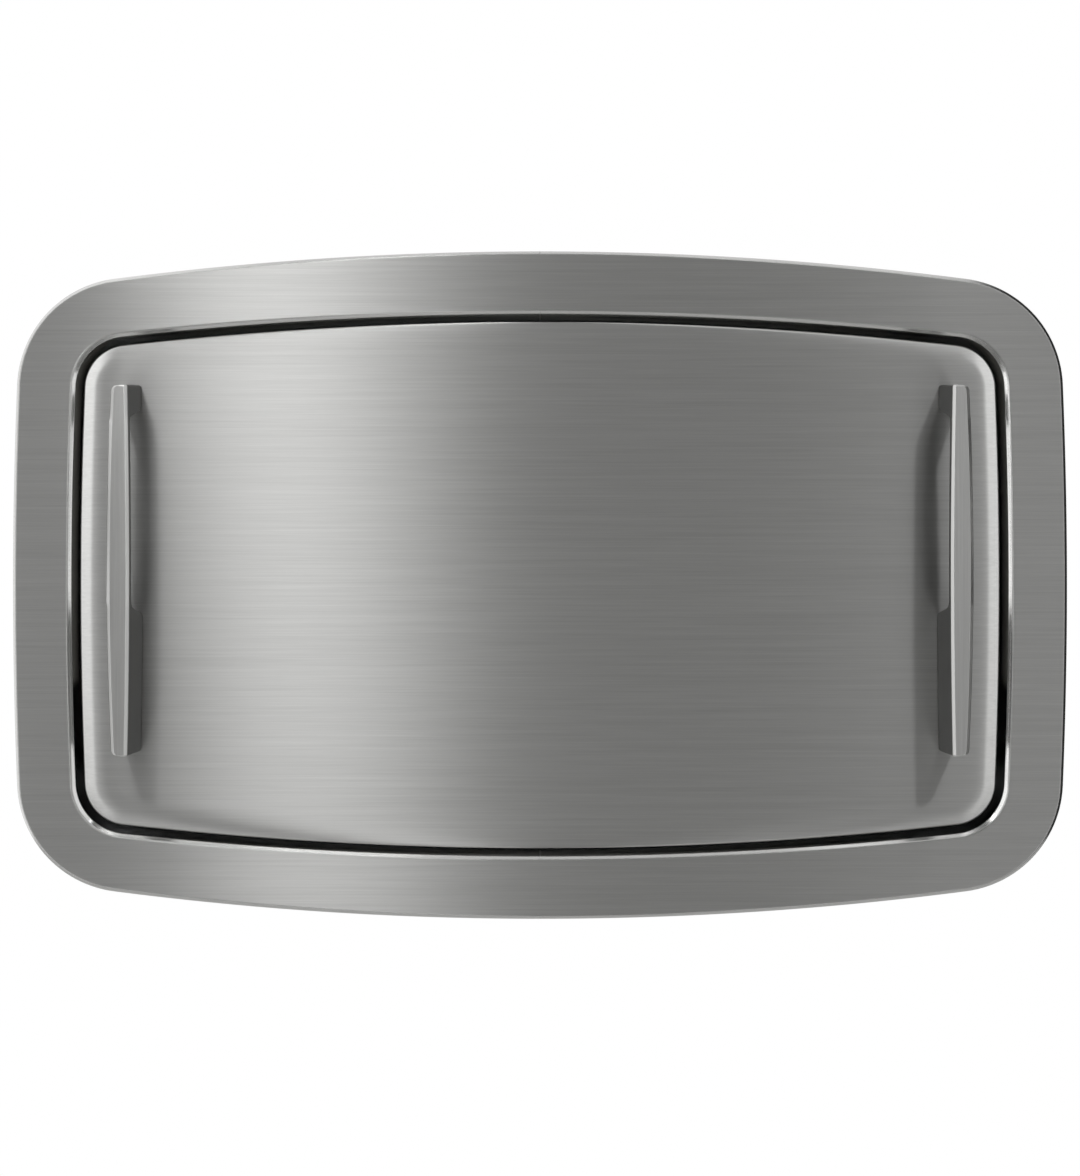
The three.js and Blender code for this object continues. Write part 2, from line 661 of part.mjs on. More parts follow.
/** Hinge arm, drawn from the hinge axis: a web against the skin, a tongue in the rail and two ears. */
function hingeArm() {
  const front = rail.front - hinge.y;
  const web = front + ARM_WEB;
  const foot = PAN_ROLL + CLEAR - HINGE_RISE;
  const shelf = BRACKET_UNDER;
  const ear = new THREE.Shape();
  ear.moveTo(front, foot);
  ear.lineTo(-shelf, foot);
  ear.lineTo(-shelf, -EAR_FOOT);
  ear.lineTo(EAR_BACK, -EAR_FOOT);
  ear.lineTo(EAR_BACK, EAR_FOOT + shelf);
  ear.lineTo(EAR_BACK / 2, EAR_FOOT + EAR_BACK);
  ear.lineTo(front, EAR_FOOT + EAR_BACK);
  const longEar = new THREE.Shape();
  longEar.moveTo(front, foot);
  longEar.lineTo(-shelf, foot);
  longEar.lineTo(-shelf, -EAR_FOOT);
  longEar.lineTo(EAR_BACK, -EAR_FOOT);
  longEar.lineTo(EAR_BACK, EAR_FOOT + shelf);
  longEar.lineTo(EYE_RADIUS, EAR_FOOT + EAR_BACK);
  longEar.lineTo(EYE_RADIUS, DAMPER_ARM);
  longEar.lineTo(EYE_RADIUS / 2, armTop);
  longEar.lineTo(front, armTop);
  const railFoot = rail.foot - hinge.z;
  const tongue = RAIL_WIDTH / 2 - RAIL_SHEET - CLEAR;
  const arm = join(
    block([-earOuter, front, foot], [earOuter, web, railFoot - CLEAR]),
    block([-tongue, front, railFoot - 2 * CLEAR], [tongue, web, railFoot + WEB_TONGUE]),
    plateAlongX(ear, -earOuter, -earInner),
    plateAlongX(longEar, earInner, earOuter),
  );
  const pinHole = barAlongX(PIN_RADIUS + CLEAR, -earOuter - OVERCUT, earOuter + OVERCUT, ROUND);
  const studHole = barAlongX(STUD_RADIUS + CLEAR, earInner - OVERCUT, earOuter + OVERCUT);
  studHole.translate(0, studPoint.x, studPoint.y);
  return skin(cut(arm, pinHole, studHole));
}

/** Bed frame: a hoop of channel, open towards the skin. */
function bedFrame() {
  const hoop = (inset, foot) => {
    const half = rail.outer - inset;
    const within = rail.inner + inset;
    const crown = rail.top - TOP_RAIL_WIDTH + inset;
    const radius = RAIL_CORNER - inset;
    const shape = new THREE.Shape();
    shape.moveTo(half, foot);
    shape.lineTo(half, rail.top - inset - radius);
    shape.absarc(half - radius, rail.top - inset - radius, radius, 0, Math.PI / 2, false);
    shape.lineTo(radius - half, rail.top - inset);
    shape.absarc(radius - half, rail.top - inset - radius, radius, Math.PI / 2, Math.PI, false);
    shape.lineTo(-half, foot);
    shape.lineTo(-within, foot);
    shape.lineTo(-within, crown);
    shape.lineTo(within, crown);
    shape.lineTo(within, foot);
    return shape;
  };
  const outside = plateAlongY(hoop(0, rail.foot), rail.front, rail.back);
  const channel = hoop(RAIL_SHEET, rail.foot - OVERCUT);
  const hollow = plateAlongY(channel, rail.front - OVERCUT, rail.back - RAIL_SHEET);
  return skin(cut(solid(outside), hollow));
}

/** The outside of the lower rail as a body, drawn out by an offset. */
function lowerRailBody(offset) {
  const half = hinge.x - earOuter - CLEAR + offset;
  return block(
    [-half, rail.front - offset, lowerRailTop - TOP_RAIL_WIDTH - offset],
    [half, rail.back + offset, lowerRailTop + offset],
  );
}

/** Lower rail: a channel between the two hinge arms. */
function lowerRail() {
  const bottom = lowerRailTop - TOP_RAIL_WIDTH;
  const hollow = block(
    [-DOOR_WIDTH, rail.front - OVERCUT, bottom + RAIL_SHEET],
    [DOOR_WIDTH, rail.back - RAIL_SHEET, lowerRailTop - RAIL_SHEET],
  );
  return skin(cut(solid(lowerRailBody(0)), hollow));
}

/** Pull handle: its side view, with the finger gap, cut to its bulged front view. */
function handle() {
  const base = FRONT - CLEAR;
  const front = FRONT - HANDLE_REACH;
  const bar = front + HANDLE_BAR;
  const bottom = -HANDLE_DROP;
  const top = bottom + HANDLE_LENGTH;
  const gapFoot = bottom + GRIP_ABOVE_BOTTOM;
  const gapTop = gapFoot + GRIP_LENGTH;
  const sideView = new THREE.Shape();
  sideView.moveTo(base, bottom);
  sideView.lineTo(base, gapFoot - GRIP_FOOT_RAKE);
  sideView.lineTo(bar + GRIP_FILLET, gapFoot);
  sideView.quadraticCurveTo(bar, gapFoot, bar, gapFoot + GRIP_FILLET);
  sideView.lineTo(bar, gapTop - GRIP_FILLET);
  sideView.quadraticCurveTo(bar, gapTop, bar + GRIP_FILLET, gapTop);
  sideView.lineTo(base, gapTop + GRIP_TOP_RAKE);
  sideView.lineTo(base, top);
  sideView.lineTo(front, top - HANDLE_RAKE);
  sideView.lineTo(front, bottom);
  const outer = DOOR_WIDTH / 2 - HANDLE_EDGE;
  const inner = outer - HANDLE_WIDTH;
  const outerEnd = outer - HANDLE_OUTER_BULGE;
  const innerEnd = inner + HANDLE_INNER_BULGE;
  const middle = (bottom + top) / 2;
  const r = HANDLE_FACE_CORNER;
  const frontView = new THREE.Shape();
  frontView.moveTo(innerEnd, bottom);
  frontView.lineTo(outerEnd - r, bottom);
  frontView.quadraticCurveTo(outerEnd, bottom, outerEnd, bottom + r);
  frontView.quadraticCurveTo(outer + HANDLE_OUTER_BULGE, middle, outerEnd, top - r);
  frontView.quadraticCurveTo(outerEnd, top, outerEnd - r, top);
  frontView.lineTo(innerEnd, top);
  frontView.quadraticCurveTo(inner - HANDLE_INNER_BULGE, middle, innerEnd, bottom);
  const reach = HANDLE_WIDTH;
  const sides = solid(plateAlongX(sideView, inner - reach, outer + reach));
  return skin(sides.intersect(solid(plateAlongY(frontView, front - OVERCUT, base + OVERCUT))));
}

/** The hollow of the bed as a body, drawn in or out by an offset. */
function basinBody(offset) {
  const middle = (basin.top + basin.bottom) / 2;
  const half = (basin.top - basin.bottom) / 2;
  const loop = (inset, y) => roundedLoop(basin.halfWidth, half, BASIN_CORNER, inset - offset, y, middle);
  const floor = floorY - offset;
  const lip = rimY - offset;
  const round = arc(-BASIN_LIP, lip - BASIN_LIP, BASIN_LIP, Math.PI / 2, 0, 2);
  const foot = arc(BASIN_DRAFT, floor + BASIN_FILLET, BASIN_FILLET, Math.PI, Math.PI * 1.5, 2);
  return loft([loop(-BASIN_LIP, rimY + TRAY_SHEET), ...[...round, ...foot].map((p) => loop(p.x, p.y))]);
}

/** The corner cut away for the hinge and damper, drawn out by an offset, on one side. */
function notchBody(offset, side) {
  const near = notchX - offset;
  const far = DOOR_WIDTH;
  const [left, right] = side > 0 ? [near, far] : [-far, -near];
  const outline = roundedOutline(left, -DOOR_HEIGHT, right, notchTop + offset, NOTCH_CORNER);
  return plateAlongY(outline, FRONT, rimY + TRAY_SHEET);
}

/** Bed tray: a moulded sheet with a skirt, a rolled rim, the hollow, two hinge corners and bosses below. */
function bedTray() {
  const edge = (inset, y) => bowedLoop(openingForm, DOOR_GAP + PAN_SHEET + TRAY_FIT + inset, y);
  const skirt = FRONT + PAN_DEPTH - TRAY_LAP;
  const roll = arc(TRAY_RIM_ROLL, rimY - TRAY_RIM_ROLL, TRAY_RIM_ROLL, Math.PI, Math.PI / 2, 3);
  const innerRoll = TRAY_RIM_ROLL - TRAY_SHEET;
  const under = arc(TRAY_RIM_ROLL, rimY - TRAY_RIM_ROLL, innerRoll, Math.PI, Math.PI / 2, 2);
  const outside = solid(loft([edge(0, skirt), ...roll.map((p) => edge(p.x, p.y))]));
  const inside = solid(loft([edge(TRAY_SHEET, skirt - OVERCUT), ...under.map((p) => edge(p.x, p.y))]));
  const hollow = cut(inside, basinBody(TRAY_SHEET), notchBody(TRAY_SHEET, 1), notchBody(TRAY_SHEET, -1));
  const underRim = block([-DOOR_WIDTH, FRONT, -DOOR_HEIGHT], [DOOR_WIDTH, rimY - TRAY_SHEET, DOOR_HEIGHT]);
  const tub = solid(basinBody(TRAY_SHEET)).intersect(solid(underRim));
  const whole = outside.add(tub);
  const moulded = cut(whole, basinBody(0), notchBody(0, 1), notchBody(0, -1)).subtract(hollow);
  const shell = cut(moulded, lowerRailBody(CLEAR));
  const boss = (x, z) => {
    const length = rimY - TRAY_SHEET / 2 - rail.back - CLEAR;
    const post = new THREE.CylinderGeometry(BOSS_RADIUS, BOSS_RADIUS, length, SMALL_ROUND);
    return solid(post.translate(x, rail.back + CLEAR + length / 2, z));
  };
  const topZ = rail.top - TOP_RAIL_WIDTH / 2;
  const lowZ = lowerRailTop - TOP_RAIL_WIDTH / 2;
  const rows = [-BOSS_SPREAD, 0, BOSS_SPREAD].flatMap((x) => [boss(x, topZ), boss(x, lowZ)]);
  const heights = [notchTop / 2, (notchTop / 2 + topZ) / 2];
  const columns = [-hinge.x, hinge.x].flatMap((x) => heights.map((z) => boss(x, z)));
  return skin([...rows, ...columns].reduce((tray, post) => tray.add(post), shell));
}

const strapEnd = (basin.top - basin.bottom) / 2 - BASIN_DRAFT - STRAP_END_ROOM;
const strapMiddle = (basin.top + basin.bottom) / 2;
const strapY = floorY + CLEAR;

/** One half of the strap, lying on the floor of the bed from its anchor to the buckle. */
function strapHalf(side) {
  const near = strapMiddle + side * (BUCKLE_LENGTH / 2 + CLEAR);
  const far = strapMiddle + side * strapEnd;
  const half = STRAP_WIDTH / 2;
  return block(
    [-half, strapY, Math.min(near, far)],
    [half, strapY + STRAP_THICK, Math.max(near, far)],
  );
}

/** Plate that clamps one end of the strap to the floor of the bed. */
function strapAnchor(side) {
  const end = strapMiddle + side * (strapEnd + CLEAR + ANCHOR_PLATE);
  const near = end - side * ANCHOR_LENGTH;
  const half = STRAP_WIDTH / 2 + ANCHOR_OVERHANG;
  const top = strapY + STRAP_THICK + CLEAR + ANCHOR_PLATE;
  const outside = block([-half, strapY, Math.min(near, end)], [half, top, Math.max(near, end)]);
  const reach = end - side * ANCHOR_PLATE;
  const open = near - side * OVERCUT;
  const slotHalf = STRAP_WIDTH / 2 + CLEAR;
  const slot = block(
    [-slotHalf, strapY - OVERCUT, Math.min(open, reach)],
    [slotHalf, top - ANCHOR_PLATE, Math.max(open, reach)],
  );
  return skin(cut(solid(outside), slot));
}

const buckle = {
  half: STRAP_WIDTH / 2 + BUCKLE_CHEEK + 2 * CLEAR,
  low: strapMiddle - BUCKLE_LENGTH / 2,
  high: strapMiddle + BUCKLE_LENGTH / 2,
  pinY: strapY + BUCKLE_HEIGHT - BUCKLE_PIN_RADIUS * 2,
  pinZ: strapMiddle + BUCKLE_LENGTH / 4,
};

/** Buckle frame: a floor with two cheeks that hold the pin. */
function buckleFrame() {
  const inner = buckle.half - BUCKLE_CHEEK;
  const cheekTop = strapY + BUCKLE_HEIGHT;
  const outside = block([-buckle.half, strapY, buckle.low], [buckle.half, cheekTop, buckle.high]);
  const channel = block(
    [-inner, strapY + BUCKLE_FLOOR, buckle.low - OVERCUT],
    [inner, cheekTop + OVERCUT, buckle.high + OVERCUT],
  );
  const hole = barAlongX(BUCKLE_PIN_RADIUS + CLEAR, -buckle.half - OVERCUT, buckle.half + OVERCUT);
  hole.translate(0, buckle.pinY, buckle.pinZ);
  return skin(cut(solid(outside), channel, hole));
}

/** Buckle lever, drawn from its pin: a cam barrel with a flat tongue. */
function buckleLever() {
  const half = buckle.half - BUCKLE_CHEEK - CLEAR;
  const cam = BUCKLE_PIN_RADIUS + CLEAR + LEVER_THICK / 2;
  const tongue = block([-half, cam - LEVER_THICK, -LEVER_LENGTH], [half, cam, 0]);
  const lever = join(barAlongX(cam, -half, half), tongue);
  return skin(cut(lever, barAlongX(BUCKLE_PIN_RADIUS + CLEAR, -half - OVERCUT, half + OVERCUT)));
}

const bin = {
  back: panelFace - CLEAR,
  front: panelFace - CLEAR - BIN_DEPTH,
  top: BIN_FOOT + BIN_HEIGHT,
  pinY: panelFace - CLEAR - LID_PIN_RADIUS - LID_BARREL_WALL - 2 * CLEAR,
  pinZ: BIN_FOOT + BIN_HEIGHT + LID_PIN_RISE,
  lugX: BIN_WIDTH / 2 - LUG_INSET,
};

/** Outline of the liner bin from above, with round front corners, drawn in by an inset. */
function binPlan(inset) {
  const half = BIN_WIDTH / 2 - inset;
  const radius = BIN_CORNER - inset;
  const shape = new THREE.Shape();
  shape.moveTo(half, bin.back - inset);
  shape.lineTo(-half, bin.back - inset);
  shape.lineTo(-half, bin.front + inset + radius);
  shape.absarc(radius - half, bin.front + inset + radius, radius, Math.PI, Math.PI * 1.5, false);
  shape.lineTo(half - radius, bin.front + inset);
  shape.absarc(half - radius, bin.front + inset + radius, radius, -Math.PI / 2, 0, false);
  return shape;
}

/** Liner bin: a moulded box open at the top, with a slot in front and two lugs for the lid's pin. */
function linerBin() {
  const halfSlot = SLOT_LENGTH / 2;
  const slotFoot = BIN_FOOT + SLOT_ABOVE_FOOT;
  const slot = roundedOutline(-halfSlot, slotFoot, halfSlot, slotFoot + SLOT_HEIGHT, SLOT_CORNER);
  const lug = (side) => {
    const shape = new THREE.Shape();
    const radius = bin.back - bin.pinY;
    shape.moveTo(bin.back, bin.top - BIN_WALL);
    shape.lineTo(bin.back, bin.pinZ);
    shape.absarc(bin.pinY, bin.pinZ, radius, 0, Math.PI, false);
    shape.lineTo(bin.pinY - radius, bin.top);
    shape.lineTo(bin.back - BIN_WALL, bin.top - BIN_WALL);
    const near = side * bin.lugX - LUG_WIDTH / 2;
    return plateAlongX(shape, near, near + LUG_WIDTH);
  };
  const body = join(plateAlongZ(binPlan(0), BIN_FOOT, bin.top), lug(1), lug(-1));
  const room = plateAlongZ(binPlan(BIN_WALL), BIN_FOOT + BIN_WALL, bin.top - BIN_WALL);
  const mouthPlan = roundedOutline(
    BIN_WALL - BIN_WIDTH / 2,
    bin.front + BIN_WALL,
    BIN_WIDTH / 2 - BIN_WALL,
    bin.pinY - (bin.back - bin.pinY) - CLEAR,
    BIN_WALL,
  );
  const mouth = plateAlongZ(mouthPlan, bin.top - BIN_WALL - OVERCUT, bin.top + OVERCUT);
  const bore = barAlongX(LID_PIN_RADIUS + CLEAR, -BIN_WIDTH / 2, BIN_WIDTH / 2);
  bore.translate(0, bin.pinY, bin.pinZ);
  const slit = plateAlongY(slot, bin.front - OVERCUT, bin.front + BIN_WALL + OVERCUT);
  return skin(cut(body, room, mouth, slit, bore));
}

/** Lid of the liner bin, drawn from its pin: a plate with a turned-down lip and a barrel between the lugs. */
function dispenserLid() {
  const under = CLEAR - LID_PIN_RISE;
  const upper = under + LID_PLATE;
  const near = bin.front - LID_OVERHANG - LID_PLATE - bin.pinY;
  const half = BIN_WIDTH / 2;
  const barrel = LID_PIN_RADIUS + LID_BARREL_WALL;
  const barrelHalf = bin.lugX - LUG_WIDTH / 2 - CLEAR;
  const lugFront = bin.pinY - bin.back - 2 * CLEAR;
  const lid = join(
    block([-half, near, under], [half, lugFront, upper]),
    block([-half, near, upper - LID_LIP], [half, near + LID_PLATE, upper]),
    block([-barrelHalf, lugFront - OVERCUT, under], [barrelHalf, 0, upper]),
    barAlongX(barrel, -barrelHalf, barrelHalf),
  );
  return skin(cut(lid, barAlongX(LID_PIN_RADIUS + CLEAR, -half, half)));
}

/** Pin of the bin's lid. */
function lidPin() {
  const half = bin.lugX + LUG_WIDTH / 2 + LID_BARREL_WALL;
  return barAlongX(LID_PIN_RADIUS, -half, half);
}

/** Bag hook: a plate on the back panel and a round J in front of it. */
function bagHook() {
  const back = panelFace - CLEAR;
  const face = back - HOOK_PLATE;
  const foot = HOOK_TOP - HOOK_HEIGHT;
  const outer = (HOOK_THROAT + HOOK_BAR + HOOK_PLATE) / 2;
  const bowlY = back - outer;
  const bowlZ = foot + outer;
  const inner = HOOK_THROAT / 2;
  const middle = face - inner;
  const shape = new THREE.Shape();
  shape.moveTo(back, HOOK_TOP);
  shape.lineTo(face, HOOK_TOP);
  shape.lineTo(face, bowlZ);
  shape.absarc(middle, bowlZ, inner, 0, -Math.PI, true);
  shape.lineTo(middle - inner, foot + HOOK_TIP);
  shape.lineTo(bowlY - outer, foot + HOOK_TIP);
  shape.lineTo(bowlY - outer, bowlZ);
  shape.absarc(bowlY, bowlZ, outer, Math.PI, Math.PI * 2, false);
  return plateAlongX(shape, -HOOK_WIDTH / 2, HOOK_WIDTH / 2);
}

/** Eye on the end of a damper, in its own frame, with the damper's axis along Z. */
function damperEye(height) {
  return barAlongX(EYE_RADIUS, -EYE_WIDTH / 2, EYE_WIDTH / 2, ROUND).translate(0, 0, height);
}

/** Hole through an eye of a damper. */
function eyeHole(height) {
  return barAlongX(STUD_RADIUS + CLEAR, -EYE_WIDTH, EYE_WIDTH).translate(0, 0, height);
}

/** A profile of radius and height, turned about Z. */
function turnedAlongZ(points, facets = ROUND) {
  const profile = points.map(([radius, height]) => new THREE.Vector2(radius, height));
  return new THREE.LatheGeometry(profile, facets).rotateX(Math.PI / 2);
}

const damper = {
  tail: EYE_RADIUS - CLEAR,
  boreFoot: EYE_RADIUS - CLEAR + CYLINDER_TAIL,
  mouth: EYE_RADIUS + CYLINDER_TAIL + PISTON + openLength - foldedLength + 2 * CLEAR,
};

/** Damper cylinder: a tube with a closed tail, turned on its anchor by an eye. */
function damperCylinder() {
  const tube = turnedAlongZ([
    [0, 0],
    [CYLINDER_RADIUS - DAMPER_CHAMFER, 0],
    [CYLINDER_RADIUS, damper.tail],
    [CYLINDER_RADIUS, damper.mouth],
    [0, damper.mouth],
  ]);
  const bore = turnedAlongZ([
    [0, damper.boreFoot],
    [CYLINDER_BORE, damper.boreFoot],
    [CYLINDER_BORE, damper.mouth + OVERCUT],
    [0, damper.mouth + OVERCUT],
  ]);
  const half = EYE_WIDTH / 2;
  const waist = CYLINDER_RADIUS * 2;
  const flats = [
    block([half, -waist, -waist], [waist, waist, damper.tail]),
    block([-waist, -waist, -waist], [-half, waist, damper.tail]),
  ];
  return skin(cut(join(tube, damperEye(0)), bore, eyeHole(0), ...flats));
}

/** Gland that closes the mouth of a cylinder round the rod. */
function damperGland() {
  const seat = damper.mouth + CLEAR;
  return turnedAlongZ([
    [ROD_RADIUS + CLEAR, seat],
    [CYLINDER_RADIUS, seat],
    [CYLINDER_RADIUS, seat + GLAND - DAMPER_CHAMFER],
    [CYLINDER_RADIUS - DAMPER_CHAMFER, seat + GLAND],
    [ROD_RADIUS + CLEAR, seat + GLAND],
    [ROD_RADIUS + CLEAR, seat],
  ]);
}

/** Damper rod: piston, rod and the eye that turns on the bed's stud. */
function damperRod() {
  const piston = damper.boreFoot + CLEAR;
  const rod = turnedAlongZ([
    [0, piston],
    [CYLINDER_BORE - CLEAR, piston],
    [CYLINDER_BORE - CLEAR, piston + PISTON],
    [ROD_RADIUS, piston + PISTON],
    [ROD_RADIUS, foldedLength],
    [0, foldedLength],
  ]);
  return skin(cut(join(rod, damperEye(foldedLength)), eyeHole(foldedLength)));
}

/** The damper of one side, in a group that stands on the anchor and leans to the stud. */
function damperGroup(sideName, side) {
  const group = new THREE.Group();
  group.position.set(side * damperX, hinge.y + anchorPoint.x, hinge.z + anchorPoint.y);
  group.rotation.x = (ANCHOR_ANGLE + STUD_ANGLE) / 2;
  group.add(
    piece(`damper_cylinder_${sideName}`, damperCylinder(), BLACK_PAINT),
    piece(`damper_gland_${sideName}`, damperGland(), DARK_PLASTIC),
    piece(`damper_rod_${sideName}`, damperRod(), CHROME),
  );
  return group;
}

/** Everything of one side that is drawn from the hinge axis. */
function hingeGroup(sideName, side) {
  const group = new THREE.Group();
  group.position.set(side * hinge.x, hinge.y, hinge.z);
  const half = BRACKET_PLATE / 2;
  const pinStop = piece(`stop_pin_${sideName}`, handed(stopPin(), side), PLATED_STEEL);
  const sleeve = piece(`stop_sleeve_${sideName}`, handed(stopSleeve(), side), BLACK_RUBBER);
  const anchor = piece(`strut_anchor_${sideName}`, handed(damperStud(-half, half), side), PLATED_STEEL);
  const stud = piece(`strut_stud_${sideName}`, handed(damperStud(earInner, earOuter), side), PLATED_STEEL);
  pinStop.position.set(0, stopReach, stopReach);
  sleeve.position.copy(pinStop.position);
  anchor.position.set(0, anchorPoint.x, anchorPoint.y);
  stud.position.set(0, studPoint.x, studPoint.y);
  group.add(
    piece(`hinge_bracket_${sideName}`, handed(hingeBracket(), side), GALVANISED),
    piece(`hinge_bush_${sideName}`, handed(hingeBush(), side), DARK_PLASTIC),
    piece(`hinge_pin_${sideName}`, handed(hingePin(), side), PLATED_STEEL),
    piece(`hinge_arm_${sideName}`, handed(hingeArm(), side), GALVANISED),
    pinStop,
    sleeve,
    anchor,
    stud,
  );
  return group;
}

const station = new THREE.Group();
station.add(
  piece("wall_flange", wallFlange(), BRUSHED_STEEL),
  piece("wall_box", wallBox(), GALVANISED),
  piece("back_panel", backPanel(), GREY_PLASTIC),
  piece("liner_bin", linerBin(), GREY_PLASTIC),
);
const pinOfLid = piece("lid_pin", lidPin(), PLATED_STEEL);
const lid = piece("dispenser_lid", dispenserLid(), GREY_PLASTIC);
pinOfLid.position.set(0, bin.pinY, bin.pinZ);
lid.position.copy(pinOfLid.position);
station.add(pinOfLid, lid);

const bed = new THREE.Group();
bed.add(
  piece("door_skin", doorSkin(), BRUSHED_STEEL),
  piece("bed_frame", bedFrame(), GALVANISED),
  piece("lower_rail", lowerRail(), GALVANISED),
  piece("bed_tray", bedTray(), GREY_PLASTIC),
  piece("strap_upper", strapHalf(1), WEBBING),
  piece("strap_lower", strapHalf(-1), WEBBING),
  piece("strap_anchor_upper", strapAnchor(1), PLATED_STEEL),
  piece("strap_anchor_lower", strapAnchor(-1), PLATED_STEEL),
  piece("buckle_frame", buckleFrame(), DARK_PLASTIC),
);
const bucklePin = piece("buckle_pin", barAlongX(BUCKLE_PIN_RADIUS, -buckle.half, buckle.half), CHROME);
const lever = piece("buckle_lever", buckleLever(), DARK_PLASTIC);
bucklePin.position.set(0, buckle.pinY, buckle.pinZ);
lever.position.copy(bucklePin.position);
bed.add(bucklePin, lever);

const changingStation = new THREE.Group();
changingStation.add(station, bed);
for (const [sideName, side] of [["left", -1], ["right", 1]]) {
  const hook = piece(`bag_hook_${sideName}`, bagHook(), PLATED_STEEL);
  hook.position.x = (side * HOOK_SPACING) / 2;
  station.add(hook);
  bed.add(piece(`handle_${sideName}`, handed(handle(), side), CAST_HANDLE));
  changingStation.add(hingeGroup(sideName, side), damperGroup(sideName, side));
}

export default changingStation;
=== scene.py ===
"""Looks of a recess-mounted baby changing station, built round its packed construction.

Metres, with +X to the right, +Y into the wall and +Z up. The frame gives every piece its place: new
surfaces are worked out from the boxes of the nodes that they stand for, and small hardware is a softened
copy of its node.
"""

import logging
import math
from dataclasses import dataclass
from enum import Enum
from typing import Any, Sequence

import bmesh
import bpy
import numpy as np
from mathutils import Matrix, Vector


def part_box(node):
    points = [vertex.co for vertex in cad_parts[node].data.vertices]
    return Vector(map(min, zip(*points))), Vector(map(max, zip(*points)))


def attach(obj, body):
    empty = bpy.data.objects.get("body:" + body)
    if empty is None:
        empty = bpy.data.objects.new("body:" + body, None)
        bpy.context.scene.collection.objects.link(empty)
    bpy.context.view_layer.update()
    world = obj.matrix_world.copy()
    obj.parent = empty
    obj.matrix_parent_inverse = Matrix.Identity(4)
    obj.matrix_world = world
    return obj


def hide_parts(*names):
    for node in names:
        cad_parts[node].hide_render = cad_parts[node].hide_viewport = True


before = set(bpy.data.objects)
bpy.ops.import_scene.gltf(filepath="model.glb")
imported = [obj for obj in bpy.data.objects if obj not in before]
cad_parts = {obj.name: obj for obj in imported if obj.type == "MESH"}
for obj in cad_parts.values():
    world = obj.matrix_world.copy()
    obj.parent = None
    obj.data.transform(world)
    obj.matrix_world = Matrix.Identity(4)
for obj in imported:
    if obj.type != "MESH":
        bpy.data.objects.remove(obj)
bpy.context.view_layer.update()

LOG = logging.getLogger("changing_station")
MM = 0.001
TINY = 1e-7
SUPPORT = 0.4 * MM
QUARTER = math.pi / 2
CREASE = math.radians(38)
NEAR_FLAT = math.radians(0.5)
Points = np.ndarray
Run = tuple[Points, Points]
Section = tuple[Points, Points, Points, Points]
Pair = tuple[float, float]
Triple = tuple[float, float, float]
Place = Sequence[float]
Sockets = dict[Any, Any]
Mesh = bpy.types.Mesh
Piece = bpy.types.Object


class Side(Enum):
    """The two sides of the station, as signs of X."""

    LEFT = -1
    RIGHT = 1

    def named(self, stem: str) -> str:
        """A node's name on this side."""
        return f"{stem}_{self.name.lower()}"


class Body(str, Enum):
    """The bodies that pieces ride on."""

    STATION = "station"
    BED = "bed"
    LEFT_CYLINDER = "left_damper_body"
    RIGHT_CYLINDER = "right_damper_body"
    LEFT_ROD = "left_damper_rod"
    RIGHT_ROD = "right_damper_rod"
    LID = "bin_lid"
    LEVER = "buckle_cam"


class Slot(str, Enum):
    """The record's material slots."""

    STEEL = "brushed_steel"
    HANDLE = "handle_steel"
    ZINC = "zinc_steel"
    PLATED = "plated_steel"
    GREY_PLASTIC = "grey_plastic"
    DARK_PLASTIC = "dark_plastic"
    RUBBER = "black_rubber"
    PAINT = "black_paint"
    WEBBING = "webbing"


# Outlines and grids


@dataclass(frozen=True)
class Outline:
    """A closed outline in X and Z, with the outward normal at each of its points."""

    points: Points
    normals: Points

    def swept(self, section: Points) -> Points:
        """Carries a section's rows of inset and depth round the outline, in along its normals and back."""
        flat = self.points - section[:, 0, None, None] * self.normals
        return np.stack(np.broadcast_arrays(flat[..., 0], section[:, 1, None], flat[..., 1]), axis=-1)

    def moved(self, x: float, z: float) -> "Outline":
        """The same outline about another middle."""
        return Outline(self.points + np.array([x, z]), self.normals)


def arc_run(centre: Place, radius: float, start: float, end: float, count: int) -> Points:
    """Points of an arc: the centre plus the radius times the cosine and sine of an angle in radians."""
    angle = np.linspace(start, end, count)
    return np.asarray(centre, float) + radius * np.column_stack([np.cos(angle), np.sin(angle)])


def chained(runs: Sequence[Run]) -> Outline:
    """Joins runs of points and normals into one outline, leaving out points that repeat.

    Args:
        runs: pairs of points and normals, in order round the outline.

    Returns:
        The outline.
    """
    points, normals = (np.vstack(parts) for parts in zip(*runs))
    keep = np.linalg.norm(points - np.roll(points, -1, axis=0), axis=1) > TINY
    return Outline(points[keep], normals[keep])


def rounded_run(
    centre: Place, radius: float, start: float, end: float, count: int, hollow: bool = False
) -> Run:
    """An arc with its outward normals, which point to its centre where the outline is hollow."""
    radial = arc_run((0, 0), 1, start, end, count)
    return np.asarray(centre, float) + radius * radial, -radial if hollow else radial


def rounded_rectangle(half_width: float, half_height: float, corner: float, steps: int = 24) -> Outline:
    """A rectangle with round corners: four quarter arcs, with straight edges between them.

    Args:
        half_width: half its size along X.
        half_height: half its size along Z.
        corner: the radius of its corners.
        steps: points on each corner.

    Returns:
        The outline.
    """
    x, z = half_width - corner, half_height - corner
    centres = [(x, z), (-x, z), (-x, -z), (x, -z)]
    return chained([
        rounded_run(centre, corner, turn * QUARTER, (turn + 1) * QUARTER, steps)
        for turn, centre in enumerate(centres)
    ])


def straight_run(start: Place, end: Place, count: int) -> Run:
    """Even points of a straight edge, with the normal on its right hand."""
    x, z = np.subtract(end, start) / math.dist(start, end)
    return np.linspace(start, end, count), np.tile((z, -x), (count, 1))


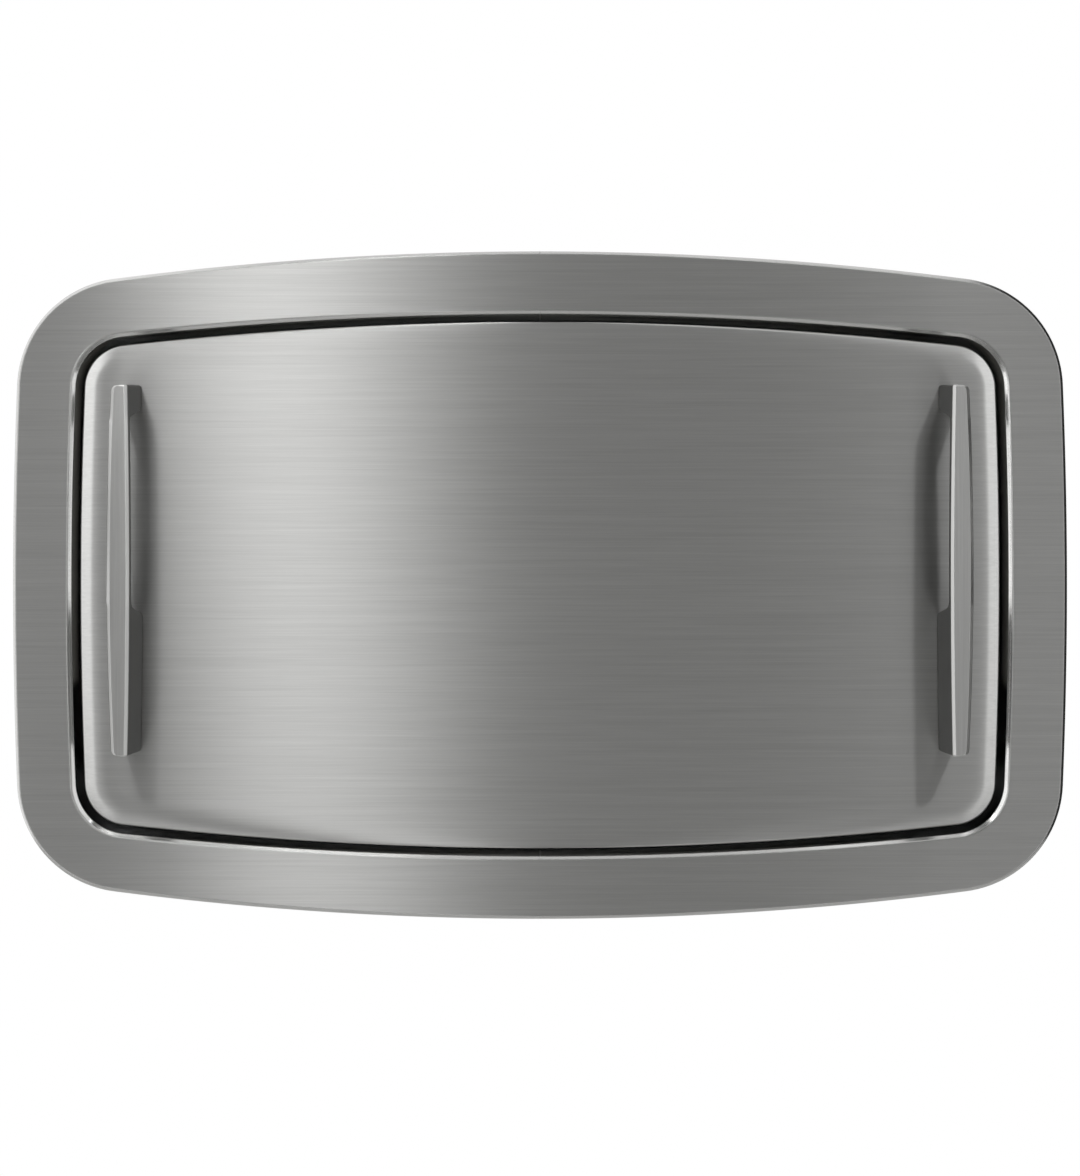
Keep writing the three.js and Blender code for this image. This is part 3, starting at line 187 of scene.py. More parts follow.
@dataclass(frozen=True)
class BowedForm:
    """A rounded rectangle whose four edges bow outwards, as arcs that meet tangent corner arcs."""

    half_width: float
    half_height: float
    end_rise: float
    side_rise: float
    corner: float
    side_steps: int = 16
    corner_steps: int = 28
    end_steps: int = 40

    @property
    def end_bow(self) -> float:
        """Radius of the top and bottom edges, from their rise over half the width."""
        return (self.half_width**2 + self.end_rise**2) / (2 * self.end_rise)

    @property
    def side_bow(self) -> float:
        """Radius of the side edges, from their rise over half the height."""
        return (self.half_height**2 + self.side_rise**2) / (2 * self.side_rise)

    def centres(self) -> tuple[Points, Points, Points]:
        """Centres of the side arc, of the upper right corner and of the top arc.

        Returns:
            The three centres. The corner's lies at the crossing of two circles round the other two.
        """
        end = np.array([0, self.half_height - self.end_bow])
        side = np.array([self.half_width - self.side_bow, 0])
        to_end, to_side = self.end_bow - self.corner, self.side_bow - self.corner
        between = end - side
        span = np.linalg.norm(between)
        unit = between / span
        along = (to_side**2 - to_end**2 + span**2) / (2 * span)
        across = math.sqrt(to_side**2 - along**2)
        return side, side + unit * along + np.array([-unit[1], unit[0]]) * across, end

    def angles(self) -> Pair:
        """Angles at which the corner leaves the side and meets the top."""
        side, corner, end = self.centres()
        leaves, meets = corner - side, corner - end
        return math.atan2(leaves[1], leaves[0]), math.atan2(meets[1], meets[0])

    def outline(self) -> Outline:
        """Chains one quarter of the form and mirrors it across Z and then across X.

        Returns:
            The whole outline.
        """
        side, corner, end = self.centres()
        leaves, meets = self.angles()
        quarter = chained([
            rounded_run(side, self.side_bow, 0, leaves, self.side_steps),
            rounded_run(corner, self.corner, leaves, meets, self.corner_steps),
            rounded_run(end, self.end_bow, meets, QUARTER, self.end_steps),
        ])
        return Outline(mirrored(quarter.points), mirrored(quarter.normals))


def mirrored(quarter: Points) -> Points:
    """A whole loop from a quarter that runs from the right side's middle to the top's middle."""
    half = np.vstack([quarter, quarter[-2::-1] * (-1, 1)])
    return np.vstack([half, half[-2:0:-1] * (1, -1)])


def grid_faces(
    rows: int, columns: int, wrap_rows: bool = False, wrap_columns: bool = True
) -> list[list[int]]:
    """Quads of a grid of points, row by row.

    Args:
        rows: how many rows the grid has.
        columns: how many points a row has.
        wrap_rows: whether the last row joins the first.
        wrap_columns: whether a row closes on itself.

    Returns:
        The quads, as lists of four indices.
    """
    row = np.arange(rows if wrap_rows else rows - 1)[:, None]
    column = np.arange(columns if wrap_columns else columns - 1)[None, :]
    below, beside = (row + 1) % rows, (column + 1) % columns
    around = [(row, column), (row, beside), (below, beside), (below, column)]
    corners = np.broadcast_arrays(*(r * columns + c for r, c in around))
    return np.stack(corners, axis=-1).reshape(-1, 4).tolist()


# Shader maths and finishes


@dataclass(frozen=True)
class Sock:
    """A node's output in shader maths: each operator on it adds a Math node to its tree."""

    tree: "ShaderTree"
    socket: bpy.types.NodeSocket

    def maths(self, operation: str, *values: "Value") -> "Sock":
        """A Math node on one or two values."""
        return self.tree.node("Math", dict(enumerate(values)), operation=operation)

    def sine(self) -> "Sock":
        """Sine of this value."""
        return self.maths("SINE", self)

    def beside(self, output: Any) -> "Sock":
        """Another output of the same node."""
        return Sock(self.tree, self.socket.node.outputs[output])

    def __add__(self, other: "Value") -> "Sock":
        """Sum of two values."""
        return self.maths("ADD", self, other)

    def __mul__(self, other: "Value") -> "Sock":
        """Product of two values."""
        return self.maths("MULTIPLY", self, other)

    def __sub__(self, other: "Value") -> "Sock":
        """Difference of two values."""
        return self.maths("SUBTRACT", self, other)

    def __rsub__(self, other: float) -> "Sock":
        """Difference of a number and this value."""
        return self.maths("SUBTRACT", other, self)

    __radd__, __rmul__ = __add__, __mul__

    def above(self, edge: float, width: float) -> "Sock":
        """A soft step: 0 below an edge and 1 above it, over a width."""
        sockets = {"Value": self, "From Min": edge - width / 2, "From Max": edge + width / 2}
        return self.tree.node("MapRange", sockets, interpolation_type="SMOOTHSTEP")


Value = Sock | float


class ShaderTree:
    """Makes the nodes of one material or of the world."""

    def __init__(self, tree: bpy.types.NodeTree) -> None:
        """Takes over an empty tree."""
        self.tree = tree
        tree.nodes.clear()

    def node(self, kind: str, sockets: Sockets | None = None, output: Any = 0, **settings: Any) -> Sock:
        """Adds a node.

        Args:
            kind: the node's type, without its prefix.
            sockets: numbers, colours or other sockets, by input.
            output: the output that is wanted.
            settings: the node's properties, set first.

        Returns:
            That output.
        """
        made = self.tree.nodes.new(f"ShaderNode{kind}")
        for name, value in settings.items():
            setattr(made, name, value)
        for name, value in (sockets or {}).items():
            self.feed(made.inputs[name], value)
        return Sock(self, made.outputs[output])

    def feed(self, socket: bpy.types.NodeSocket, value: Any) -> None:
        """Links a socket to another, or sets its value."""
        if isinstance(value, Sock):
            self.tree.links.new(value.socket, socket)
        else:
            socket.default_value = value

    def end(self, kind: str, shader: Sock) -> None:
        """Adds the output node and links its surface."""
        self.feed(self.tree.nodes.new(f"ShaderNodeOutput{kind}").inputs["Surface"], shader)

    def placed(self, scale: Triple) -> Sock:
        """Object coordinates, scaled along each axis."""
        where = self.node("TexCoord", output="Object")
        return self.node("Mapping", {"Vector": where, "Scale": scale}, vector_type="POINT")

    def along(self, axis: int) -> Sock:
        """A point's Object coordinate along an axis: 0 is across, and 1 is how far back it is."""
        return self.node("SeparateXYZ", {0: self.placed((1.0, 1.0, 1.0))}, axis)

    def noise(self, scale: Triple, detail: float = 2.0, roughness: float = 0.5) -> Sock:
        """Noise from 0 to 1 on Object coordinates."""
        sockets = {"Vector": self.placed(scale), "Scale": 1.0, "Detail": detail, "Roughness": roughness}
        return self.node("TexNoise", sockets, "Fac")

    def cells(self, scale: float, output: str = "Distance") -> Sock:
        """Cells of a Voronoi pattern on Object coordinates."""
        return self.node("TexVoronoi", {"Vector": self.placed((scale,) * 3), "Scale": 1.0}, output)

    def blend(self, factor: Value, first: Any, second: Any) -> Sock:
        """A mix of two colours."""
        return self.node("Mix", {0: factor, 6: first, 7: second}, 2, data_type="RGBA", clamp_factor=True)

    def bump(self, height: Sock, strength: float, distance: float) -> Sock:
        """A normal that is bumped by a height."""
        return self.node("Bump", {"Height": height, "Strength": strength, "Distance": distance})


def shade(colour: Triple, factor: float) -> tuple[float, float, float, float]:
    """A colour made lighter or darker, with its alpha."""
    return (*(min(1.0, channel * factor) for channel in colour), 1.0)


@dataclass(frozen=True)
class Finish:
    """What every finish shares, with its darker and lighter shade and its bump's strength and distance."""

    name: str
    slot: Slot
    colour: Triple
    roughness: float
    metallic: float = 0.0
    shades: Pair = (0.9, 1.1)
    relief: Pair = (0.05, 0.3 * MM)

    def material(self) -> bpy.types.Material:
        """Makes the finish's material at its first use.

        Returns:
            The material.
        """
        found = bpy.data.materials.get(self.name)
        if found:
            return found
        made = bpy.data.materials.new(self.name)
        made.use_nodes = True
        tree = ShaderTree(made.node_tree)
        sockets = {"Metallic": self.metallic, **self.dress(tree)}
        tree.end("Material", tree.node("BsdfPrincipled", sockets))
        return made

    def dress(self, tree: ShaderTree) -> Sockets:
        """Draws what is special about the finish, in a subclass.

        Args:
            tree: the material's tree.

        Returns:
            The shader's sockets, as numbers, colours or outputs by name.
        """
        raise NotImplementedError

    def varied(self, tree: ShaderTree, tone: Sock, rough: Sock, height: Sock) -> Sockets:
        """Sockets from a tone between the two shades, a roughness and a bump's height."""
        colour = tree.blend(tone, *(shade(self.colour, factor) for factor in self.shades))
        return {"Base Color": colour, "Roughness": rough, "Normal": tree.bump(height, *self.relief)}


DEPTH_FADE = 0.8 * MM


class Grain(Enum):
    """Which way a surface was brushed, as the stretch of its grain along X, Y and Z."""

    ALONG_X = (5.0, 430.0, 430.0)
    ALONG_Z = (520.0, 520.0, 7.0)


@dataclass(frozen=True)
class BrushedSteel(Finish):
    """Stainless steel with fine brushed lines, faint clouds and a little tonal drift."""

    shades: Pair = (0.86, 1.13)
    relief: Pair = (0.05, 0.2 * MM)
    grain: Grain = Grain.ALONG_X
    finer: float = 2.7
    spread: float = 1.0
    turn: float = 0.25
    edge_from: float = -7.0 * MM
    edge_polish: float = 0.0
    polish_from: float = 0.44
    polish_fade: float = 0.02

    def dress(self, tree: ShaderTree) -> Sockets:
        """Streaks from two stretched noises, clouds from a wide one, and smoother edges behind the front.

        Highlights spread across the grain. The polish is a soft step of the depth times one of the squared
        distance from the middle, so that it can be kept to the left and right edges.
        """
        lines = tree.noise(self.grain.value, 3.0, 0.6)
        hairs = tree.noise(tuple(axis * self.finer for axis in self.grain.value), 2.0, 0.7)
        clouds = tree.noise((3.1, 3.1, 4.3), 2.0)
        streaks = lines * 0.55 + hairs * 0.45
        tone = streaks * 1.7 - 0.35 + (clouds - 0.5) * 0.2
        rough = self.roughness + (hairs - 0.5) * 0.08 + (clouds - 0.5) * 0.02
        if self.edge_polish:
            x = tree.along(0)
            polish = tree.along(1).above(self.edge_from, DEPTH_FADE) * self.edge_polish
            rough = rough - polish * (x * x).above(self.polish_from**2, self.polish_fade)
        highlight = {"Anisotropic": self.spread, "Anisotropic Rotation": self.turn}
        return highlight | self.varied(tree, tone, rough, streaks)


@dataclass(frozen=True)
class HandleSteel(BrushedSteel):
    """Brushed on the front and its chamfers; behind them rougher, with painted shade darkening the base
    colour.
    """

    dull_from: float = -49.4 * MM
    # painted shade: how far the base colour is darkened on the sides behind the front
    side_painted_shade: float = 0.44
    dull_rough: float = 0.14

    def dress(self, tree: ShaderTree) -> Sockets:
        """The brushed look, blended by depth behind the front into a rougher one with painted shade."""
        sockets = super().dress(tree)
        shaded_sides = tree.along(1).above(self.dull_from, DEPTH_FADE)
        pits = tree.noise((900.0,) * 3, 2.0, 0.6)
        # painted shade: the sides' base colour, darkened to stand for the shade they are in, with fine pits
        dark, light = (shade(self.colour, self.side_painted_shade * factor) for factor in (0.9, 1.1))
        sockets["Base Color"] = tree.blend(shaded_sides, sockets["Base Color"], tree.blend(pits, dark, light))
        sockets["Roughness"] = sockets["Roughness"] + shaded_sides * self.dull_rough
        return sockets


@dataclass(frozen=True)
class ZincPlate(Finish):
    """Dull zinc with faint crystals."""

    shades: Pair = (0.88, 1.1)
    relief: Pair = (0.015, 0.3 * MM)
    spangle: float = 95.0

    def dress(self, tree: ShaderTree) -> Sockets:
        """Cells of slightly different grey, over a wide cloud."""
        crystal = tree.cells(self.spangle, "Color")
        grey = tree.node("RGBToBW", {"Color": crystal})
        clouds = tree.noise((9.0,) * 3, 4.0)
        tone = grey * 0.6 + clouds * 0.4
        rough = self.roughness + (grey - 0.5) * 0.1 + (clouds - 0.5) * 0.05
        return self.varied(tree, tone, rough, grey)


@dataclass(frozen=True)
class PlatedMetal(Finish):
    """Bright plating with fine turning marks and faint smears."""

    shades: Pair = (0.93, 1.06)
    relief: Pair = (0.03, 0.2 * MM)
    marks: Triple = (700.0, 70.0, 70.0)

    def dress(self, tree: ShaderTree) -> Sockets:
        """Marks from a fine noise stretched along Y and Z, and smears from a coarse one."""
        rings = tree.noise(self.marks, 2.0)
        smears = tree.noise((38.0,) * 3, 3.0)
        rough = self.roughness + (rings - 0.5) * 0.08 + (smears - 0.5) * 0.12
        return self.varied(tree, smears, rough, rings)


@dataclass(frozen=True)
class MouldedPlastic(Finish):
    """Moulded plastic with a fine leathery grain, slight mottling and scuffs."""

    shades: Pair = (0.94, 1.05)
    relief: Pair = (0.14, 0.3 * MM)
    grain: float = 1100.0

    def dress(self, tree: ShaderTree) -> Sockets:
        """Small cells for the grain, clouds for the mottling, long noise for scuffs."""
        pebbles = tree.cells(self.grain)
        mottle = tree.noise((26.0,) * 3, 4.0)
        scuff = tree.noise((60.0, 300.0, 22.0), 4.0, 0.65).above(0.62, 0.1)
        rough = self.roughness + (mottle - 0.5) * 0.1 + scuff * 0.06
        return self.varied(tree, mottle, rough, pebbles)


@dataclass(frozen=True)
class DullCoat(Finish):
    """Satin paint or rubber: a soft orange-peel surface with dust."""

    shades: Pair = (0.8, 1.5)
    relief: Pair = (0.06, 0.3 * MM)
    peel: float = 420.0

    def dress(self, tree: ShaderTree) -> Sockets:
        """Orange peel from a fine noise, dust from a coarse one."""
        peel = tree.noise((self.peel,) * 3, 2.0)
        dust = tree.noise((45.0,) * 3, 5.0, 0.6)
        rough = self.roughness + (dust - 0.5) * 0.2
        return self.varied(tree, dust, rough, peel)


@dataclass(frozen=True)
class WovenStrap(Finish):
    """Webbing: warp and weft on the strap's own map, with fuzz."""

    shades: Pair = (0.55, 1.6)
    relief: Pair = (0.5, 0.4 * MM)
    picks: float = 430.0
    ends: float = 17.0

    def dress(self, tree: ShaderTree) -> Sockets:
        """A weave as the product of two sines on the map, whose U runs across and V along in metres."""
        flat = tree.node("TexCoord", output="UV")
        across = tree.node("SeparateXYZ", {0: flat}, 0)
        warp = (across * (self.ends * math.tau)).sine()
        weft = (across.beside(1) * (self.picks * math.tau)).sine()
        weave = warp * weft * 0.5 + 0.5
        fuzz = tree.noise((240.0,) * 3, 4.0)
        rough = self.roughness + (fuzz - 0.5) * 0.12
        return self.varied(tree, weave * 0.7 + fuzz * 0.3, rough, weave)


DOOR_STEEL = BrushedSteel("door_steel", Slot.STEEL, (0.60, 0.60, 0.59), 0.52, 1.0, edge_polish=0.22)
FLANGE_STEEL = BrushedSteel(
    "flange_steel", Slot.STEEL, (0.60, 0.60, 0.59), 0.52, 1.0,
    edge_polish=0.32, polish_from=0.0, polish_fade=1e-6,
)
HANDLE_STEEL = HandleSteel(
    "handle_steel_satin", Slot.HANDLE, (0.62, 0.62, 0.61), 0.4, 1.0, grain=Grain.ALONG_Z
)
ZINC = ZincPlate("zinc_sheet", Slot.ZINC, (0.50, 0.51, 0.52), 0.46, 1.0)
PLATED = PlatedMetal("plated_hardware", Slot.PLATED, (0.66, 0.67, 0.68), 0.26, 1.0)
GREY_MOULDING = MouldedPlastic("grey_moulding", Slot.GREY_PLASTIC, (0.62, 0.61, 0.57), 0.5)
DARK_MOULDING = MouldedPlastic(
    "dark_moulding", Slot.DARK_PLASTIC, (0.040, 0.042, 0.045), 0.44, relief=(0.08, 0.3 * MM), grain=1400.0
)
RUBBER = DullCoat("stop_rubber", Slot.RUBBER, (0.020, 0.020, 0.020), 0.78)
BLACK_PAINT = DullCoat("damper_paint", Slot.PAINT, (0.025, 0.026, 0.028), 0.36, peel=260.0)
WEBBING = WovenStrap("strap_webbing", Slot.WEBBING, (0.070, 0.075, 0.085), 0.82)
FLOOR = DullCoat("pale_floor", Slot.PAINT, (0.72, 0.72, 0.71), 0.8, shades=(0.99, 1.01), peel=30.0)


# Making pieces


def tidied(mesh: Mesh, flat: float = 0.0, closed: bool = True) -> None:
    """Merges doubles, points faces outwards and shades smooth between creases.

    Args:
        mesh: the mesh, changed in place.
        flat: the angle under which neighbouring faces become one, or 0 to keep them all.
        closed: whether it is a closed shell; an open sheet keeps the way its faces already point.
    """
    form = bmesh.new()
    form.from_mesh(mesh)
    bmesh.ops.remove_doubles(form, verts=form.verts, dist=10 * TINY)
    if flat:
        bmesh.ops.dissolve_limit(form, angle_limit=flat, verts=form.verts, edges=form.edges)
    if closed:
        bmesh.ops.recalc_face_normals(form, faces=form.faces)
    form.to_mesh(mesh)
    form.free()
    mesh.shade_smooth()
    mesh.set_sharp_from_angle(angle=CREASE)


def surface(name: str, points: Points, faces: list[list[int]], closed: bool = True) -> Piece:
    """A new piece from its points and faces.

    Args:
        name: the piece's name.
        points: an array whose last axis holds three coordinates.
        faces: lists of indices into the points.
        closed: whether it is a closed shell.

    Returns:
        The piece, in the scene.
    """
    mesh = bpy.data.meshes.new(name)
    mesh.from_pydata(points.reshape(-1, 3).tolist(), [], faces)
    tidied(mesh, closed=closed)
    return shown(name, mesh)


def shown(name: str, data: bpy.types.ID) -> Piece:
    """Puts a mesh, a lamp or a camera into the scene."""
    piece = bpy.data.objects.new(name, data)
    bpy.context.scene.collection.objects.link(piece)
    return piece


def seated(piece: Piece, finish: Finish, body: Body, *nodes: str) -> None:
    """Dresses a piece, lets it ride on a body and hides the nodes that it stands for.

    Args:
        piece: the piece.
        finish: its finish.
        body: the body that it rides on.
        nodes: the nodes that it stands for.
    """
    piece.data.materials.clear()
    piece.data.materials.append(finish.material())
    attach(piece, body.value)
    if nodes:
        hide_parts(*nodes)
    LOG.info("%s rides on %s", piece.name, body.value)


def softened(node: str, finish: Finish, body: Body, edge: float) -> None:
    """A copy of a node with its flat faces merged and its edges broken, as a maker deburrs a piece.

    Args:
        node: the node that it stands for.
        finish: its finish.
        body: the body that it rides on.
        edge: how wide its edges are broken.
    """
    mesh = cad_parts[node].data.copy()
    tidied(mesh, flat=NEAR_FLAT)
    piece = shown(f"{node}_made", mesh)
    bevel = piece.modifiers.new("broken_edges", "BEVEL")
    bevel.width = edge
    bevel.segments = 2
    bevel.limit_method = "ANGLE"
    bevel.angle_limit = CREASE
    bevel.harden_normals = True
    seated(piece, finish, body, node)


def lofted(rows: Points, wrap: bool = False, caps: bool = False) -> list[list[int]]:
    """Faces of rows of closed loops.

    Args:
        rows: points, loop by loop.
        wrap: whether the last loop joins the first.
        caps: whether the first and the last loop are filled.

    Returns:
        The faces, as lists of indices.
    """
    count, columns = rows.shape[:2]
    faces = grid_faces(count, columns, wrap_rows=wrap)
    if caps:
        last = (count - 1) * columns
        faces += [list(range(columns - 1, -1, -1)), list(range(last, last + columns))]
    return faces


def resampled(path: Points, count: int) -> Points:
    """Reads a path at even steps along its length.

    Args:
        path: its points.
        count: how many points are wanted.

    Returns:
        The new points.
    """
    steps = np.linalg.norm(np.diff(path, axis=0), axis=1)
    run = np.concatenate([[0], np.cumsum(steps)])
    wanted = np.linspace(0, run[-1], count)
    return np.column_stack([np.interp(wanted, run, path[:, axis]) for axis in range(path.shape[1])])


def slanted(first: Points, second: Points) -> Points:
    """Two arcs and the straight between them, with a support point beside each of its ends."""
    step = (second[0] - first[-1]) * SUPPORT / np.linalg.norm(second[0] - first[-1])
    return np.vstack([first, first[-1] + step, second[0] - step, second])


def half_sizes(low: Vector, high: Vector) -> Pair:
    """Half a box's sizes along X and Z."""
    return (high.x - low.x) / 2, (high.z - low.z) / 2


# Flange, door and handles


@dataclass
class Shutter:
    """The front that shows when the station is shut: the wall flange and the door in its opening."""

    gap: float = 7.5 * MM
    end_rise: float = 29.4 * MM
    side_rise: float = 8 * MM
    corner: float = 53 * MM
    flange_end_rise: float = 43.2 * MM
    flange_side_rise: float = 11.7 * MM
    flange_corner: float = 114 * MM
    flange_sheet: float = 2 * MM
    edge_wall: float = 2.8 * MM
    hem_bend: float = 2.5 * MM
    hem_width: float = 16 * MM
    edge_bend: float = 1.5 * MM
    edge_slant: float = 4.6 * MM
    lip_slant: float = 3.8 * MM
    return_bend: float = 6 * MM
    pan_sheet: float = 1.5 * MM
    pan_roll: float = 5 * MM
    pan_ease: float = 36 * MM
    pan_tilt: float = math.radians(16)
    ease_steps: int = 14
    roll_steps: int = 22
    back_steps: int = 10
    hem_steps: int = 8
    bend_steps: int = 6

    def opening(self) -> BowedForm:
        """The opening that the door closes, from the door's box and the gap round it."""
        width, height = half_sizes(*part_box("door_skin"))
        return BowedForm(width + self.gap, height + self.gap, self.end_rise, self.side_rise, self.corner)

    def flange_form(self) -> BowedForm:
        """The outer edge of the flange, from its box."""
        sizes = half_sizes(*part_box("wall_flange"))
        return BowedForm(*sizes, self.flange_end_rise, self.flange_side_rise, self.flange_corner)

    def build_flange(self) -> None:
        """The flange: a sheet carried round two outlines, from its hem over a slant into the opening."""
        low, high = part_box("wall_flange")
        front, back, bend, few = low.y, high.y, self.return_bend, self.bend_steps
        roll, crisp, slant, lip = -front - self.hem_bend, self.edge_bend, self.edge_slant, self.lip_slant
        ease = crisp * math.tan(QUARTER / 4)
        hem, edge, turn = (self.hem_bend, -self.hem_bend), (roll, -self.hem_bend), (-bend, front + bend)
        outside = np.vstack([
            [(self.hem_width, 0)],
            arc_run(hem, self.hem_bend, QUARTER, math.pi, self.hem_steps)[:-1],
            slanted(
                arc_run((crisp, front + slant + ease), crisp, math.pi, 2.5 * QUARTER, few),
                arc_run((slant + ease, front + crisp), crisp, 2.5 * QUARTER, 3 * QUARTER, few),
            ),
            [(slant + ease + SUPPORT, front)],
        ])
        into = np.vstack([
            [(-lip - ease - SUPPORT, front)],
            slanted(
                arc_run((-lip - ease, front + crisp), crisp, -QUARTER, -QUARTER / 2, few),
                arc_run((-crisp, front + lip + ease), crisp, -QUARTER / 2, 0, few),
            ),
            [(0, lip + ease + front + SUPPORT), (0, back), (-self.flange_sheet, back)],
            arc_run(turn, bend - self.flange_sheet, 0, -QUARTER, few),
        ])
        inside = np.vstack([
            arc_run(edge, roll - self.edge_wall, 3 * QUARTER, math.pi, self.hem_steps),
            arc_run(hem, self.hem_bend - self.flange_sheet, math.pi, QUARTER, self.hem_steps // 2)[1:],
            [(self.hem_width, -self.flange_sheet)],
        ])
        outer, inner = self.flange_form().outline(), self.opening().outline()
        rows = np.concatenate([outer.swept(outside), inner.swept(into), outer.swept(inside)])
        ring = surface("flange_ring", rows, lofted(rows, wrap=True))
        seated(ring, FLANGE_STEEL, Body.STATION, "wall_flange")

    def build_door(self) -> None:
        """The door: a pan carried round the opening's outline, which sinks by a cube into its rolled edge."""
        low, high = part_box("door_skin")
        front, back, roll, sheet = low.y, high.y, self.pan_roll, self.pan_sheet
        brink = roll * (1 - math.sin(self.pan_tilt))
        sink = (self.pan_ease - brink) * math.tan(self.pan_tilt) / 3
        centre = (roll, front + sink + roll * math.cos(self.pan_tilt))
        across = np.linspace(self.pan_ease, brink, self.ease_steps, endpoint=False)
        fall = front + sink * ((self.pan_ease - across) / (self.pan_ease - brink)) ** 3
        start = -QUARTER - self.pan_tilt
        section = np.vstack([
            np.column_stack([across, fall]),
            arc_run(centre, roll, start, -math.pi, self.roll_steps),
            [(0, back), (sheet, back)],
            arc_run(centre, roll - sheet, -math.pi, start, self.back_steps),
            [(self.pan_ease, front + sheet)],
        ])
        section[:, 0] += self.gap
        rows = self.opening().outline().swept(section)
        pan = surface("door_pan", rows, lofted(rows, caps=True))
        seated(pan, DOOR_STEEL, Body.BED, "door_skin")


@dataclass
class PullHandle:
    """A pull handle: a chamfered section lofted up its side view, which bends round the finger gap."""

    side: Side
    grip_above_foot: float = 145 * MM
    grip_length: float = 194 * MM
    bar: float = 9 * MM
    fillet: float = 9 * MM
    rake: float = 7 * MM
    foot_rake: float = 5 * MM
    top_rake: float = 9 * MM
    heel: float = 5 * MM
    slack: float = 14 * MM
    inner_bulge: float = 2 * MM
    outer_bulge: float = 4.5 * MM
    outer_ease: float = 1.5 * MM
    face_corner: float = 6 * MM
    outer_chamfer: float = 4.4 * MM
    inner_chamfer: float = 2.3 * MM
    heel_chamfer: float = 0.8 * MM
    end_break: float = 1.2 * MM
    bend_steps: int = 12
    run_steps: tuple[int, ...] = (10, 10, 40, 30, 40, 8, 10)

    def paths(self) -> tuple[Points, Points]:
        """The handle's front and back lines in Y and Z, foot to top, point by point opposite each other.

        Returns:
            Both lines. Each is made of runs: end, foot block, step to the bar, bar, step back, head and end.
        """
        low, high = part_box(self.side.named("handle"))
        front, base, foot, top = low.y, high.y, low.z, high.z
        grip, fillet, end = front + self.bar, self.fillet, self.face_corner
        gap_foot = foot + self.grip_above_foot
        gap_top = gap_foot + self.grip_length
        brow, knee_foot, knee_top = top - self.rake, gap_foot - self.slack, gap_top + self.heel
        heel_foot = heel_bend((base, gap_foot - self.foot_rake), (grip + fillet, gap_foot), self.heel)
        heel_top = heel_bend((base, gap_top + self.top_rake), (grip + fillet, gap_top), -self.heel)
        elbow_foot = arc_run((grip + fillet, gap_foot + fillet), fillet, -QUARTER, -math.pi, self.bend_steps)
        elbow_top = arc_run((grip + fillet, gap_top - fillet), fillet, math.pi, QUARTER, self.bend_steps)
        step_foot, step_top = np.vstack([heel_foot, elbow_foot]), np.vstack([elbow_top, heel_top[::-1]])
        bar_foot, bar_top = gap_foot + self.slack, gap_top - self.slack
        levels = (foot, foot + end, knee_foot, bar_foot, bar_top, knee_top, brow - end, brow)
        runs_front = [[(front, start), (front, stop)] for start, stop in zip(levels, levels[1:])]
        runs_back = [
            [(base, foot), (base, foot + end)], [(base, foot + end), step_foot[0]],
            step_foot, [step_foot[-1], step_top[0]], step_top,
            [step_top[-1], (base, top - end)], [(base, top - end), (base, top)],
        ]
        return self.joined(runs_front), self.joined(runs_back)

    def joined(self, runs: Sequence[Sequence[Place]]) -> Points:
        """Runs as one line, each of them at even steps of its own."""
        parts = [resampled(np.array(run), count)[:-1] for run, count in zip(runs, self.run_steps)]
        return np.vstack([*parts, runs[-1][-1:]])

    def build(self) -> None:
        """Lofts a chamfered section between the two lines, as wide as the bulged front view at its height.

        The outer edge is rounded into both ends by a quarter circle, and the ends are broken.
        """
        low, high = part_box(self.side.named("handle"))
        front, back = self.paths()
        middle, reach = (front + back) / 2, (back - front) / 2
        half = np.linalg.norm(reach, axis=1)
        toward = reach / half[:, None]
        height = (front[:, 1] - low.z) / (front[-1, 1] - low.z)
        swell = (2 * height - 1) ** 2
        from_end = np.minimum(front[:, 1] - low.z, front[-1, 1] - front[:, 1])
        short = np.clip(self.face_corner - from_end, 0, self.face_corner)
        trim = self.face_corner - np.sqrt(self.face_corner**2 - short**2)
        pinch = np.clip(self.end_break - from_end, 0, self.end_break)
        inside = min(abs(low.x), abs(high.x)) + self.inner_bulge * swell + pinch
        outside = max(abs(low.x), abs(high.x)) + self.outer_ease - self.outer_bulge * swell - trim - pinch
        legs = (self.heel_chamfer, self.outer_chamfer, self.inner_chamfer, self.heel_chamfer)
        sign_d, sign_x, off_d, off_x = chamfered_section(legs)
        fit = np.minimum(1, (outside - inside) / (self.outer_chamfer + self.inner_chamfer + 4 * SUPPORT))
        depth = (half - pinch)[:, None] * sign_d + off_d
        across = ((outside - inside) / 2)[:, None] * sign_x + fit[:, None] * off_x
        x = self.side.value * (((outside + inside) / 2)[:, None] + across)
        y = middle[:, :1] + toward[:, :1] * depth
        z = middle[:, 1:] + toward[:, 1:] * depth
        rows = np.stack([x, y, z], axis=-1)
        piece = surface(self.side.named("pull"), rows, lofted(rows, caps=True))
        seated(piece, HANDLE_STEEL, Body.BED, self.side.named("handle"))


def heel_bend(corner: Place, onward: Place, reach: float, steps: int = 9) -> Points:
    """A soft corner between an upright edge and a slanted one: a quadratic curve pulled to the corner.

    Args:
        corner: where the edges would meet, in Y and Z.
        onward: a point further along the slanted edge.
        reach: how far the curve starts from the corner, positive if it starts below.
        steps: how many points it has.

    Returns:
        Points from the upright edge to the slanted one.
    """
    at = np.asarray(corner, float)
    slant = np.subtract(onward, at)
    start, end = at - (0, reach), at + slant * abs(reach) / np.linalg.norm(slant)
    t = np.linspace(0, 1, steps)[:, None]
    return (1 - t) ** 2 * start + 2 * t * (1 - t) * at + t**2 * end


